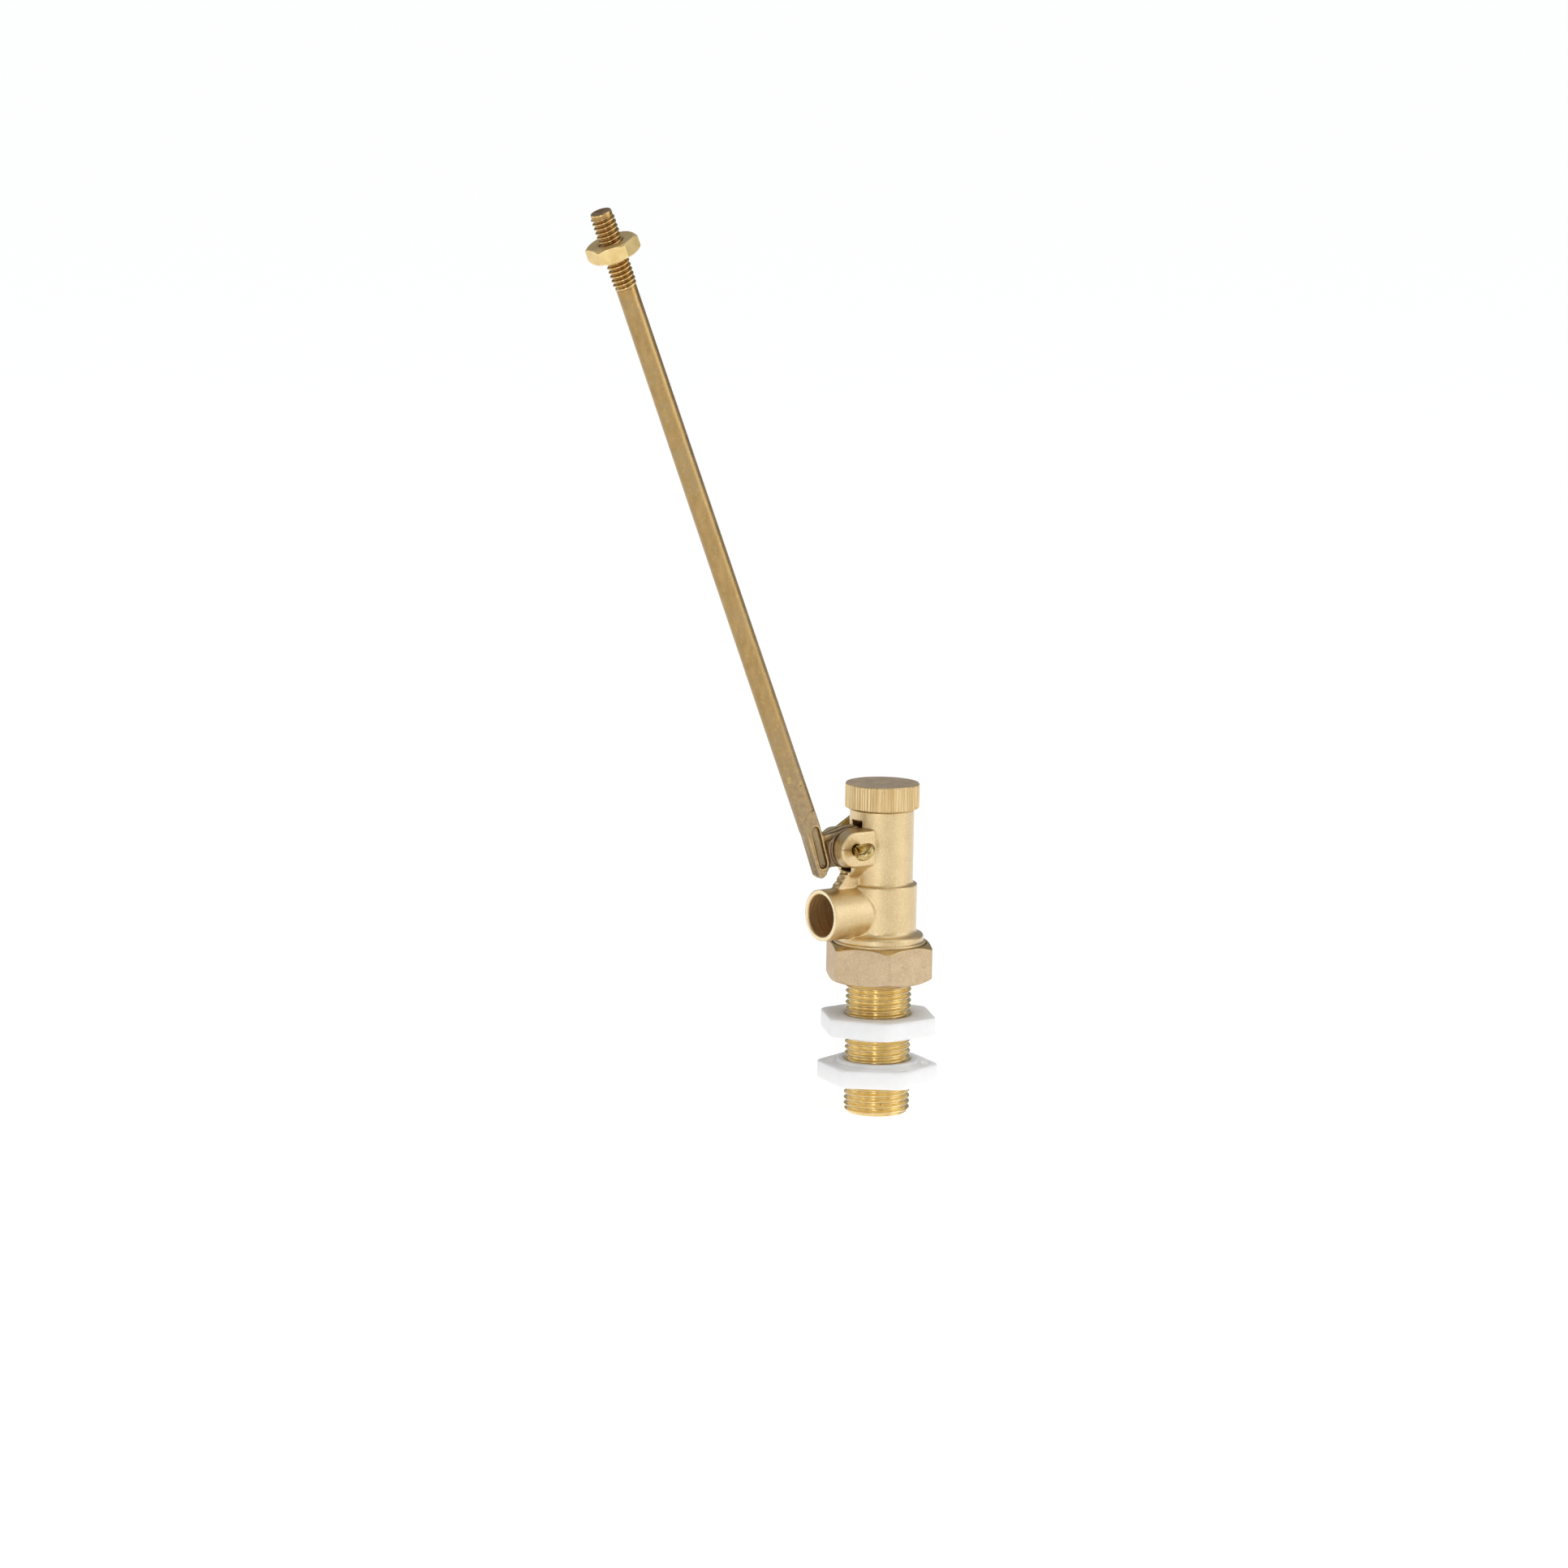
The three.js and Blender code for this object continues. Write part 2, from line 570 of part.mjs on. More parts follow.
// Half-round wire swept from the short leg's end, round the eye, to the long leg's end.
function splitPinSolid() {
  const halfRound = new THREE.Shape();
  halfRound.absarc(0, 0, PIN.radius, -Math.PI / 2, Math.PI / 2, false);
  halfRound.closePath();
  const roundEnd = [];
  for (let step = 1; step < PIN_STEPS.arc; step += 1) {
    const angle = (Math.PI * step) / PIN_STEPS.arc;
    const across = -PIN_EYE.halfWidth * Math.cos(angle);
    const along = PIN_EYE.start - PIN_EYE.spread - PIN_EYE.halfWidth * Math.sin(angle);
    roundEnd.push(new THREE.Vector3(across, along, 0));
  }
  const points = [...pinLeg(SHORT_LEG), ...roundEnd, ...pinLeg(LONG_LEG).reverse()];
  const geometry = new THREE.ExtrudeGeometry(halfRound, {
    steps: PIN_STEPS.sweep,
    extrudePath: new THREE.CatmullRomCurve3(points, false, 'centripetal'),
    bevelEnabled: false,
    curveSegments: PIN_STEPS.section,
  });
  geometry.rotateY(rad(-PIN.lean));
  return solidFrom(geometry);
}

function backnutSolid(nut) {
  const hex = prism(softOutline(hexPoints(BACKNUT.flats, nut.turn), BACKNUT.corner), nut.base, nut.top);
  const bossBase = nut.bossAbove ? nut.top - OVER : nut.base - nut.boss;
  const bossTop = nut.bossAbove ? nut.top + nut.boss : nut.base + OVER;
  const boss = bar(nut.bossRadius, bossBase, bossTop);
  const hole = bar(BACKNUT.hole, nut.base - nut.boss - OVER, nut.top + nut.boss + OVER);
  return without(joined(hex, boss), hole);
}

// ---------------------------------------------------------------- assembly
const valve = new THREE.Group();
valve.name = 'float_valve';

function place(name, solid, material, parent = valve) {
  const mesh = new THREE.Mesh(geometryFrom(solid), MATERIALS[material]);
  mesh.name = name;
  parent.add(mesh);
  return mesh;
}

place('body', bodySolid(), 'castBrass');
place('end_cap', capSolid(), 'turnedBrass');
place('inlet_tail', tailSolid(), 'turnedBrass');
place('union_nut', unionNutSolid(), 'blastedBrass');
place('union_washer', unionWasherSolid(), 'fibre');
place('seat_nozzle', seatSolid(), 'nylon');
place('piston_body', pistonBodySolid(), 'pistonBrass');
place('piston_cap', pistonCapSolid(), 'pistonBrass');
place('piston_washer', pistonWasherSolid(), 'rubber');
place('upper_backnut', backnutSolid(UPPER_NUT), 'nylon');
place('lower_backnut', backnutSolid(LOWER_NUT), 'nylon');

// The split pin stays in the lugs, at the pivot.
const pinPlace = new THREE.Group();
pinPlace.position.set(PIVOT.x, 0, PIVOT.z);
valve.add(pinPlace);
place('split_pin', splitPinSolid(), 'turnedBrass', pinPlace);

// The lever and its locknut lean over with the float down and the valve open.
const leverPlace = new THREE.Group();
leverPlace.position.set(PIVOT.x, 0, PIVOT.z);
leverPlace.rotation.y = rad(-LEAN);
valve.add(leverPlace);
place('lever', leverSolid(), 'leverBrass', leverPlace);
place('float_locknut', locknutSolid(), 'turnedBrass', leverPlace);

export default valve;
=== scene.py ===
import json
import math
from math import cos, pi, radians, sin
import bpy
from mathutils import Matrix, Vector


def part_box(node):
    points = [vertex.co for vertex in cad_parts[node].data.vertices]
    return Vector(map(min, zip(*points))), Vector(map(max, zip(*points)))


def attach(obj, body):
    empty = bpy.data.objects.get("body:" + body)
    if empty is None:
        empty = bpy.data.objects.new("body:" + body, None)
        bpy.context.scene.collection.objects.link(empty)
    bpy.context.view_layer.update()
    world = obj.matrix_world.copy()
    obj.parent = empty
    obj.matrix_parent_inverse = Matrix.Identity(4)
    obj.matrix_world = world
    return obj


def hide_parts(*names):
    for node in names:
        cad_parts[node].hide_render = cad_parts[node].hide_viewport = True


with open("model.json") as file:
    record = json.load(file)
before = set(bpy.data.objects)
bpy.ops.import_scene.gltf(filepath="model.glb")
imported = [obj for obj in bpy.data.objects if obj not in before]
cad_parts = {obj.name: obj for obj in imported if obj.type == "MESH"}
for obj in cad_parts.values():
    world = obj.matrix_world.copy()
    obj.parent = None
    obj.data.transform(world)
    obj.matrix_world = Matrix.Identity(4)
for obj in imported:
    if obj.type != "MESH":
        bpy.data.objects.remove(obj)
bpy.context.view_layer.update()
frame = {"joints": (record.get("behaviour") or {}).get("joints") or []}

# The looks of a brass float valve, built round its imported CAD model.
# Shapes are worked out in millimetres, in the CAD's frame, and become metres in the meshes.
from types import SimpleNamespace as Dims

import bpy
import numpy as np
from mathutils import Matrix, Vector

MM = 0.001


# -------- what the frame says
def box_mm(node):
    low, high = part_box(node)
    return np.array(low) / MM, np.array(high) / MM


def joint(name):
    return next(j for j in frame["joints"] if j["name"] == name)


TAIL_HIGH = box_mm("inlet_tail")[1]
BODY_LOW, BODY_HIGH = box_mm("body")
CAP_LOW, CAP_HIGH = box_mm("end_cap")
UNION_LOW, UNION_HIGH = box_mm("union_nut")
PIVOT = np.array(joint("lever_swing")["pos_m"]) / MM
LEAN = radians(joint("lever_swing")["range_deg"][1])

# -------- driving dimensions, mm
BODY_STEP = 0.343  # grid of the body's distance field
FINE_STEP = 0.2
NUT_STEP = 0.29

BARREL = Dims(radius=10.2, bore=6.65, thread=9.6, shoulder=73.9)
CHAMBER = Dims(radius=11.57, hollow=8.0, floor=57.0, roof=73.8)
FLANGE = Dims(radius=BODY_HIGH[1], base=54.1, rim=1.45, crown=13.95, crown_top=57.9)
SPIGOT = Dims(radius=13.2, counterbore=9.6, depth=2.1, seat_hole=6.3)
OUTLET = Dims(radius=8.2, bore=6.7, height=65.37, reach=-BODY_LOW[0])
LUG = Dims(radius=6.2, half=6.8, edge=0.5, hole=1.8, draft=0.16)
GUSSET = Dims(end=-14.0, base=76.8, top=83.0)
SLOT = Dims(half=2.6, base=78.9, top=94.4, reach=-3.3)
RIB = Dims(half=1.9, top_x=-13.9, top_z=79.2, foot_x=-18.2, foot_z=73.3)

TAIL = Dims(crest=10.46, pitch=1.814, bore=7.0, collar=TAIL_HIGH[0], collar_depth=2.5)
UNION = Dims(flats=31.3, turn=3.3, hole=10.8, thread=13.5, rim=2.5, mouth=15.0,
             top_start=15.6, top_rise=1.4, base_start=14.9, base_rise=1.7)
BACKNUT = Dims(flats=34.0, corner=1.9, hole=10.52, boss=12.9, boss_height=1.3)
CAP = Dims(radius=(CAP_HIGH[0] - CAP_LOW[0]) / 2, cavity=9.9, skin=2.3, knurls=76, knurl=0.45)

ROD = Dims(offset=9.8, foot=3.42, top=3.22, thread_start=198.4, tip=224.2)
ROD_THREAD = Dims(crest=3.65, pitch=1.44, depth=0.72, fade=2.6, pilot=3.3, pilot_start=222.6)
HEAD = Dims(half=2.15, flat_top=17.6)
LOCKNUT = Dims(flats=14.5, thickness=4.8, centre=212.0, hole=3.8, turn=23, chamfer=0.75)
PIN = Dims(radius=1.46, split=0.06, lean=39, eye_start=-6.9, eye_spread=4.3, eye_half=1.95)
PIN_LEG = Dims(turn_start=8.2, bend=3.2, turn=88, twist=-11)
PIN_LENGTHS = Dims(long=11.8, short=3.0)  # straight part of each leg beyond its bend

RINGS_PER_METRE = 9000  # turning rings on the cap's top
SEAM_TILT = 0.12  # rise of the mould seam along x
SEAM_DROP = 0.25  # seam below the pivot, mm

# -------- distance fields
# A field gives the distance to a surface in mm, negative inside. x, y and z are arrays.
def soft_min(a, b, k):
    """Union of two fields with a fillet of about k."""
    h = np.clip(k - np.abs(a - b), 0, None) / k
    return np.minimum(a, b) - h * h * k / 4


def soft_max(a, b, k):
    return -soft_min(-a, -b, k)


def cut(solid, tool, k=0.25):
    """Takes tool away from solid and eases the new edge by k."""
    return soft_max(solid, -tool, k)


def rounded(radial, along, edge):
    """Joins a side's distance and an end's distance with a round edge."""
    r = radial + edge
    a = along + edge
    return np.minimum(np.maximum(r, a), 0) + np.hypot(np.clip(r, 0, None), np.clip(a, 0, None)) - edge


def post(x, y, z, radius, base, top, edge=0.2):
    """Upright round bar."""
    return rounded(np.hypot(x, y) - radius, np.abs(z - (base + top) / 2) - (top - base) / 2, edge)


def slab_hexagon(x, y, flats, turn, corner):
    """Hexagon seen from above, its corners eased by corner. A corner points along turn."""
    sides = []
    for k in range(3):
        angle = radians(turn + 30 + 60 * k)
        sides.append(np.abs(x * cos(angle) + y * sin(angle)) - flats / 2)
    return soft_max(soft_max(sides[0], sides[1], corner), sides[2], corner)


def polygon(u, v, points):
    """Distance to a closed outline of straight sides."""
    nearest = np.full(u.shape, 1e9)
    sign = np.ones(u.shape)
    for (ax, ay), (bx, by) in zip(points, points[1:] + points[:1]):
        ex, ey = bx - ax, by - ay
        wx, wy = u - ax, v - ay
        t = np.clip((wx * ex + wy * ey) / (ex * ex + ey * ey), 0, 1)
        nearest = np.minimum(nearest, (wx - ex * t) ** 2 + (wy - ey * t) ** 2)
        above = v >= ay
        below = v < by
        left = ex * wy > ey * wx
        flip = (above & below & left) | (~above & ~below & ~left)
        sign = np.where(flip, -sign, sign)
    return sign * np.sqrt(nearest)


def capsule(u, v, start, end, radius):
    """Distance to a straight stroke with round ends."""
    ex, ey = end[0] - start[0], end[1] - start[1]
    t = np.clip(((u - start[0]) * ex + (v - start[1]) * ey) / (ex * ex + ey * ey), 0, 1)
    return np.hypot(u - start[0] - ex * t, v - start[1] - ey * t) - radius


def ripple(x, y, z, size):
    """Slow, seedless unevenness between about -1 and 1."""
    a = np.sin(x * 2.1 / size + 1.3 * np.sin(z * 1.7 / size))
    b = np.sin(y * 2.7 / size + 1.1 * np.sin(x * 1.9 / size + 2.0))
    c = np.sin(z * 2.3 / size + 1.7 * np.sin(y * 1.3 / size + 0.7))
    return (a + b + c) / 3


# -------- meshes
def mesh_object(name, points, faces, smooth=True):
    mesh = bpy.data.meshes.new(name)
    mesh.from_pydata((np.asarray(points) * MM).tolist(), [], faces)
    mesh.validate()
    mesh.shade_smooth() if smooth else mesh.shade_flat()
    piece = bpy.data.objects.new(name, mesh)
    bpy.context.scene.collection.objects.link(piece)
    return piece


def crossings(values, axis):
    """Grid edges along axis that the surface crosses: lower corner, crossing point, inside first."""
    count = values.shape[axis]
    near = values.take(range(count - 1), axis)
    far = values.take(range(1, count), axis)
    hit = (near < 0) != (far < 0)
    corner = np.argwhere(hit)
    a, b = near[hit], far[hit]
    point = corner.astype(float)
    point[:, axis] += a / (a - b)
    return corner, point, a < 0


def settle(field, points, step):
    """Slides the points onto the field's surface."""
    e = step * 0.05
    for _ in range(4):
        x, y, z = points.T
        slope = np.stack([
            field(x + e, y, z) - field(x - e, y, z),
            field(x, y + e, z) - field(x, y - e, z),
            field(x, y, z + e) - field(x, y, z - e),
        ], 1) / (2 * e)
        steepness = np.clip((slope ** 2).sum(1), 0.3, None)
        move = np.clip(field(x, y, z) / steepness, -step / 2, step / 2)
        points = points - move[:, None] * slope
    return points


def surface(name, field, low, high, step, turn=None):
    """Closed quad mesh of a field's zero surface. turn places the points after they are made."""
    axes = [np.arange(a - 2.37 * step, b + 2.5 * step, step) for a, b in zip(low, high)]
    grid = np.meshgrid(*axes, indexing="ij")
    values = field(*grid)
    cells = np.array(values.shape)
    total_ids, total_points, rings = [], [], []
    for axis in range(3):
        corner, point, inside_first = crossings(values, axis)
        u, v = (axis + 1) % 3, (axis + 2) % 3
        ring = []
        for du, dv in ((0, 0), (-1, 0), (-1, -1), (0, -1)):
            cell = corner.copy()
            cell[:, u] += du
            cell[:, v] += dv
            ids = (cell[:, 0] * cells[1] + cell[:, 1]) * cells[2] + cell[:, 2]
            ring.append(ids)
            total_ids.append(ids)
            total_points.append(point)
        ring = np.stack(ring, 1)
        rings.append(np.where(inside_first[:, None], ring, ring[:, ::-1]))
    ids = np.concatenate(total_ids)
    points = np.concatenate(total_points)
    unique, index = np.unique(ids, return_inverse=True)
    share = np.bincount(index)
    centre = np.stack([np.bincount(index, points[:, k]) / share for k in range(3)], 1)
    origin = np.array([a[0] for a in axes])
    centre = settle(field, centre * step + origin, step)
    faces = np.searchsorted(unique, np.concatenate(rings))
    if turn is not None:
        centre = turn(centre)
    return mesh_object(name, centre, faces.tolist())


def eased(points, step=1.0):
    """Profile from corners [r, z, ease]: each corner becomes an arc of radius ease, with a
    support point beside it, and long sides are divided every step."""
    out = []
    count = len(points)
    for i, (r, z, ease) in enumerate(points):
        here = np.array([r, z])
        if ease <= 0:
            out.append(here)
            continue
        before = np.array(points[i - 1][:2]) - here
        after = np.array(points[(i + 1) % count][:2]) - here
        before /= np.linalg.norm(before)
        after /= np.linalg.norm(after)
        angle = math.acos(np.clip(before @ after, -1, 1))
        reach = ease / math.tan(angle / 2)
        middle = here + (before + after) / np.linalg.norm(before + after) * ease / sin(angle / 2)
        start, end = here + before * reach, here + after * reach
        out.append(start + before * min(ease, 0.15))
        a0 = math.atan2(*(start - middle)[::-1])
        sweep = (math.atan2(*(end - middle)[::-1]) - a0 + pi) % (2 * pi) - pi
        for k in range(5):
            a = a0 + sweep * k / 4
            out.append(middle + ease * np.array([cos(a), sin(a)]))
        out.append(end + after * min(ease, 0.15))
    divided = []
    for a, b in zip(out, out[1:] + out[:1]):
        parts = max(1, int(np.linalg.norm(b - a) / step))
        divided += [a + (b - a) * k / parts for k in range(parts)]
    return np.array(divided)


def ring_faces(rows, count, closed):
    """Quads between rings of count points. closed also joins the last ring to the first."""
    faces = []
    for i in range(rows if closed else rows - 1):
        up = (i + 1) % rows
        for k in range(count):
            nxt = (k + 1) % count
            faces.append((i * count + k, i * count + nxt, up * count + nxt, up * count + k))
    return faces


def to_axis(profile):
    """The profile up to its last point on the axis."""
    return profile[: 1 + max(i for i, p in enumerate(profile) if p[0] < 1e-6)]


def spun(name, profile, sides, relief=None, turn=None, on_axis=False):
    """Surface of revolution of a closed profile. relief(r, z, angle) gives the final radius.
    on_axis says that the profile starts and ends on the axis, where it closes in a point."""
    angle = np.arange(sides) * 2 * pi / sides
    if on_axis:
        ends = profile[[0, -1]]
        profile = profile[1:-1]
    r = np.repeat(profile[:, :1], sides, 1)
    z = np.repeat(profile[:, 1:], sides, 1)
    a = np.repeat(angle[None], len(profile), 0)
    if relief is not None:
        r = relief(r, z, a)
    points = np.stack([r * np.cos(a), r * np.sin(a), z], -1).reshape(-1, 3)
    rows = len(profile)
    faces = ring_faces(rows, sides, not on_axis)
    if on_axis:
        first, last = rows * sides, rows * sides + 1
        points = np.vstack([points, [0, 0, ends[0][1]], [0, 0, ends[1][1]]])
        for k in range(sides):
            nxt = (k + 1) % sides
            faces.append((first, nxt, k))
            faces.append((last, (rows - 1) * sides + k, (rows - 1) * sides + nxt))
    if turn is not None:
        points = turn(points)
    return mesh_object(name, points, faces)


def screw_wave(z, angle, pitch):
    """Right-handed thread form with rounded crests, 1 at the crest and 0 at the root."""
    phase = 2 * pi * z / pitch - angle
    return (1 + np.cos(phase)) / 2


def step_up(value, start, end):
    t = np.clip((value - start) / (end - start), 0, 1)
    return t * t * (3 - 2 * t)


# -------- placing
def tilted(x, z, angle):
    return x * cos(angle) - z * sin(angle), x * sin(angle) + z * cos(angle)


def lever_place(points):
    """From the lever's own frame, upright about its pivot, to the row frame at rest."""
    x, y, z = points.T
    across, up = tilted(x, z, LEAN)
    return np.stack([PIVOT[0] + across, PIVOT[1] + y, PIVOT[2] + up], 1)


def on_rod(points):
    """From an upright axis at the origin to the rod's axis."""
    return lever_place(points - np.array([ROD.offset, 0, 0]))


def unite(piece, other):
    """Joins other into piece as one closed mesh."""
    modifier = piece.modifiers.new("join", "BOOLEAN")
    modifier.operation = "UNION"
    modifier.solver = "EXACT"
    modifier.object = other
    bpy.context.view_layer.update()
    evaluated = piece.evaluated_get(bpy.context.evaluated_depsgraph_get())
    mesh = bpy.data.meshes.new_from_object(evaluated)
    piece.modifiers.clear()
    piece.data = mesh
    mesh.shade_smooth()
    bpy.data.objects.remove(other)
    return piece


# -------- body casting
def lug_field(x, y, z):
    dx, dz = x - PIVOT[0], z - PIVOT[2]
    width = np.abs(y)
    stadium = np.where(dx < 0, np.hypot(dx, dz), np.abs(dz)) - LUG.radius
    stadium = stadium + LUG.draft * (width - SLOT.half)
    inner = x + BARREL.bore
    return rounded(np.maximum(stadium, inner), width - LUG.half, LUG.edge)


def gusset_field(x, y, z):
    """Wedge that widens the rib into the underside of both lugs."""
    spread = (np.abs(y) - RIB.half - (z - GUSSET.base)) * math.sqrt(0.5)
    ends = np.maximum(GUSSET.end - x, x + BARREL.bore)
    sides = np.maximum(np.abs(y) - LUG.half + 0.6, z - GUSSET.top)
    return soft_max(spread, np.maximum(ends, sides), 0.3)


def rib_field(x, y, z):
    outline = [
        (RIB.foot_x, RIB.foot_z - 3),
        (-7.6, RIB.foot_z - 3),
        (-7.6, RIB.top_z),
        (RIB.top_x, RIB.top_z),
        (RIB.foot_x, RIB.foot_z),
    ]
    end = np.interp(z, [RIB.foot_z, RIB.top_z], [RIB.foot_x, RIB.top_x])
    near_end = np.clip(1.6 - (x - end), 0, 1)
    torn = near_end * 0.36 * ripple(x, y, z, 0.62)
    return rounded(polygon(x, z, outline) + torn, np.abs(y) - RIB.half, 0.2)


def casting_field(x, y, z):
    barrel = post(x, y, z, BARREL.radius, 60, CAP_LOW[2] - 0.3, 0.3)
    screwed = post(x, y, z, BARREL.thread, 90, BODY_HIGH[2], 0.4)
    chamber = post(x, y, z, CHAMBER.radius, 54.5, BARREL.shoulder, 0.45)
    shape = soft_min(barrel, chamber, 0.8)
    crown = post(x, y, z, FLANGE.crown, FLANGE.base + 0.2, FLANGE.crown_top, 1.1)
    shape = soft_min(shape, crown, 1.7)
    lugs = soft_min(lug_field(x, y, z), gusset_field(x, y, z), 0.6)
    lugs = soft_min(lugs, rib_field(x, y, z), 0.4)
    shape = soft_min(shape, lugs, 0.4)
    side = np.hypot(y, z - OUTLET.height) - OUTLET.radius
    reach = np.abs(x + OUTLET.reach / 2) - OUTLET.reach / 2
    tube = rounded(side, reach, 0.2)
    shape = soft_min(shape, tube, 0.5)
    parting = np.maximum(np.abs(y) - 0.3, np.abs(z - 76) - 20.5)
    seam = np.maximum(np.maximum(parting, np.hypot(x, y) - CHAMBER.radius - 0.1), 6 - x)
    seam = np.maximum(seam, np.where(z > BARREL.shoulder, np.hypot(x, y) - BARREL.radius - 0.12, -9))
    shape = soft_min(shape, seam, 0.4)
    rim = post(x, y, z, FLANGE.radius, FLANGE.base, FLANGE.base + FLANGE.rim, 0.22)
    spigot = post(x, y, z, SPIGOT.radius, BODY_LOW[2], 56, 0.3)
    shape = soft_min(shape, rim, 0.25)
    return np.minimum(np.minimum(shape, spigot), screwed)


def body_field(x, y, z):
    shape = casting_field(x, y, z)
    low = BODY_LOW[2]
    hollow = np.minimum(
        post(x, y, z, SPIGOT.counterbore, low - 5, low + SPIGOT.depth, 0.05),
        post(x, y, z, SPIGOT.seat_hole, low - 5, CHAMBER.floor + 1, 0.05),
    )
    hollow = np.minimum(hollow, post(x, y, z, CHAMBER.hollow, CHAMBER.floor, CHAMBER.roof, 0.4))
    hollow = np.minimum(hollow, post(x, y, z, BARREL.bore, 70, BODY_HIGH[2] + 5, 0.05))
    shape = cut(shape, hollow)
    bore = np.maximum(np.hypot(y, z - OUTLET.height) - OUTLET.bore, x)
    mouth = np.hypot(y, z - OUTLET.height) - OUTLET.bore - 0.35 + (x + OUTLET.reach)
    shape = cut(shape, np.minimum(bore, mouth), 0.2)
    middle = (SLOT.base + SLOT.top) / 2
    half = (SLOT.top - SLOT.base) / 2
    slot = np.maximum(np.abs(y) - SLOT.half, np.abs(z - middle) - half)
    slot = np.maximum(slot, x - SLOT.reach)
    shape = cut(shape, slot, 0.45)
    hole = np.hypot(x - PIVOT[0], z - PIVOT[2]) - LUG.hole
    return cut(shape, np.maximum(hole, x + 11), 0.35)


def make_body():
    return surface("body_casting", body_field, BODY_LOW, BODY_HIGH, BODY_STEP)


# -------- turned pieces
def make_cap():
    base, top = CAP_LOW[2], CAP_HIGH[2]
    r, cavity = CAP.radius, CAP.cavity
    profile = eased([
        (0, top - CAP.skin, 0),
        (cavity, top - CAP.skin, 0.4),
        (cavity, base, 0.3),
        (r - 0.25, base, 0.08),
        (r, base + 0.25, 0.08),
        (r, top - 0.32, 0.06),
        (r - 0.22, top, 0.06),
        (0, top, 0),
    ], 0.45)
    profile = to_axis(profile)

    def knurl(radius, z, angle):
        groove = np.abs(np.sin(angle * CAP.knurls / 2 + 0.35 * np.sin(angle * 23))) ** 0.7
        uneven = 0.72 + 0.28 * np.sin(angle * 31 + 1.6 * np.sin(angle * 7))
        fade = step_up(z, base, base + 0.4) * (1 - step_up(z, top - 0.45, top - 0.15))
        outside = radius > cavity + 1
        return np.where(outside, radius - CAP.knurl * (1 - groove) * uneven * fade, radius)

    return spun("end_cap_knurled", profile, CAP.knurls * 8, knurl, on_axis=True)


def make_tail():
    top, collar = TAIL_HIGH[2], TAIL.collar
    under = top - TAIL.collar_depth
    crest = TAIL.crest
    depth = 0.58 * TAIL.pitch
    profile = eased([
        (TAIL.bore, 0, 0.3),
        (crest - 1.25, 0, 0.1),
        (crest, 1.2, 0.05),
        (crest, under, 0.05),
        (collar, under, 0.2),
        (collar, top, 0.2),
        (TAIL.bore, top, 0.3),
    ], 0.075)
    smooth_bore = (profile[:, 0] < TAIL.bore + 0.05) & (profile[:, 1] > 1) & (profile[:, 1] < top - 1)
    profile = profile[~smooth_bore | (np.arange(len(profile)) % 30 == 0)]

    def thread(radius, z, angle):
        wave = screw_wave(z, angle, TAIL.pitch)
        screw = crest - depth * (1 - wave)
        outside = (radius > crest - 1.3) & (radius < crest + 0.01) & (z < under - 0.05)
        return np.where(outside, np.minimum(radius, screw), radius)

    return spun("tail_threaded", profile, 112, thread)


def make_washer():
    low, high = box_mm("union_washer")
    profile = eased([(8.0, low[2], 0.2), (high[0], low[2], 0.2), (high[0], high[2], 0.2), (8.0, high[2], 0.2)], 2)
    return spun("union_sealing_ring", profile, 96)


def make_seat():
    low, high = box_mm("seat_nozzle")
    base, tip = low[2], high[2]
    profile = eased([
        (3.5, base, 0.2),
        (high[0], base, 0.2),
        (high[0], base + 1.7, 0.2),
        (6.0, base + 1.7, 0.15),
        (6.0, 59, 0.3),
        (3.4, tip - 1.8, 0.3),
        (2.6, tip, 0.25),
        (1.6, tip, 0.25),
        (1.6, tip - 1.8, 0.1),
        (3.5, tip - 3.6, 0.1),
    ], 1)
    return spun("seat_moulded", profile, 96)


def make_piston_cap():
    low, high = box_mm("piston_cap")
    base, top, r = low[2], high[2], high[0]
    washer_top = box_mm("piston_washer")[1][2]
    profile = eased([
        (4.2, base, 0.2),
        (r, base, 0.4),
        (r, top, 0.3),
        (5.0, top, 0.1),
        (5.0, washer_top, 0.05),
        (5.2, washer_top, 0.05),
        (5.2, base + 1.0, 0.1),
        (4.2, base + 1.0, 0.1),
    ], 1)
    return spun("piston_end_cap", profile, 96)


def make_piston_washer():
    low, high = box_mm("piston_washer")
    profile = eased([(0, low[2], 0), (high[0], low[2], 0.3), (high[0], high[2], 0.3), (0, high[2], 0)], 1)
    return spun("piston_rubber", to_axis(profile), 96, on_axis=True)


def make_piston():
    low, high = box_mm("piston_body")
    cap_top = box_mm("piston_cap")[1][2]
    slot_z = PIVOT[2] + 14.6 * sin(LEAN / 2)

    def field(x, y, z):
        shape = post(x, y, z, high[0], cap_top + 0.3, high[2], 0.8)
        spigot = post(x, y, z, 4.7, low[2], cap_top + 2, 0.2)
        shape = np.minimum(shape, spigot)
        groove = np.hypot(np.hypot(x, y) - high[0], z - (high[2] - 3)) - 0.5
        shape = cut(shape, groove, 0.2)
        slot = np.maximum(np.abs(y) - 2.5, np.maximum(np.abs(z - slot_z) - 3.35, x - 4.0))
        return cut(shape, slot, 0.5)

    return surface("piston_slotted", field, low, high, BODY_STEP)


# -------- hexagon pieces
def chamfer(r, above, start, corner, rise):
    """Cone that takes rise mm off a hexagon's corners, from radius start outwards.
    above is the height over the face that is chamfered."""
    run = corner - start
    return ((r - start) * rise + above * run) / math.hypot(rise, run)


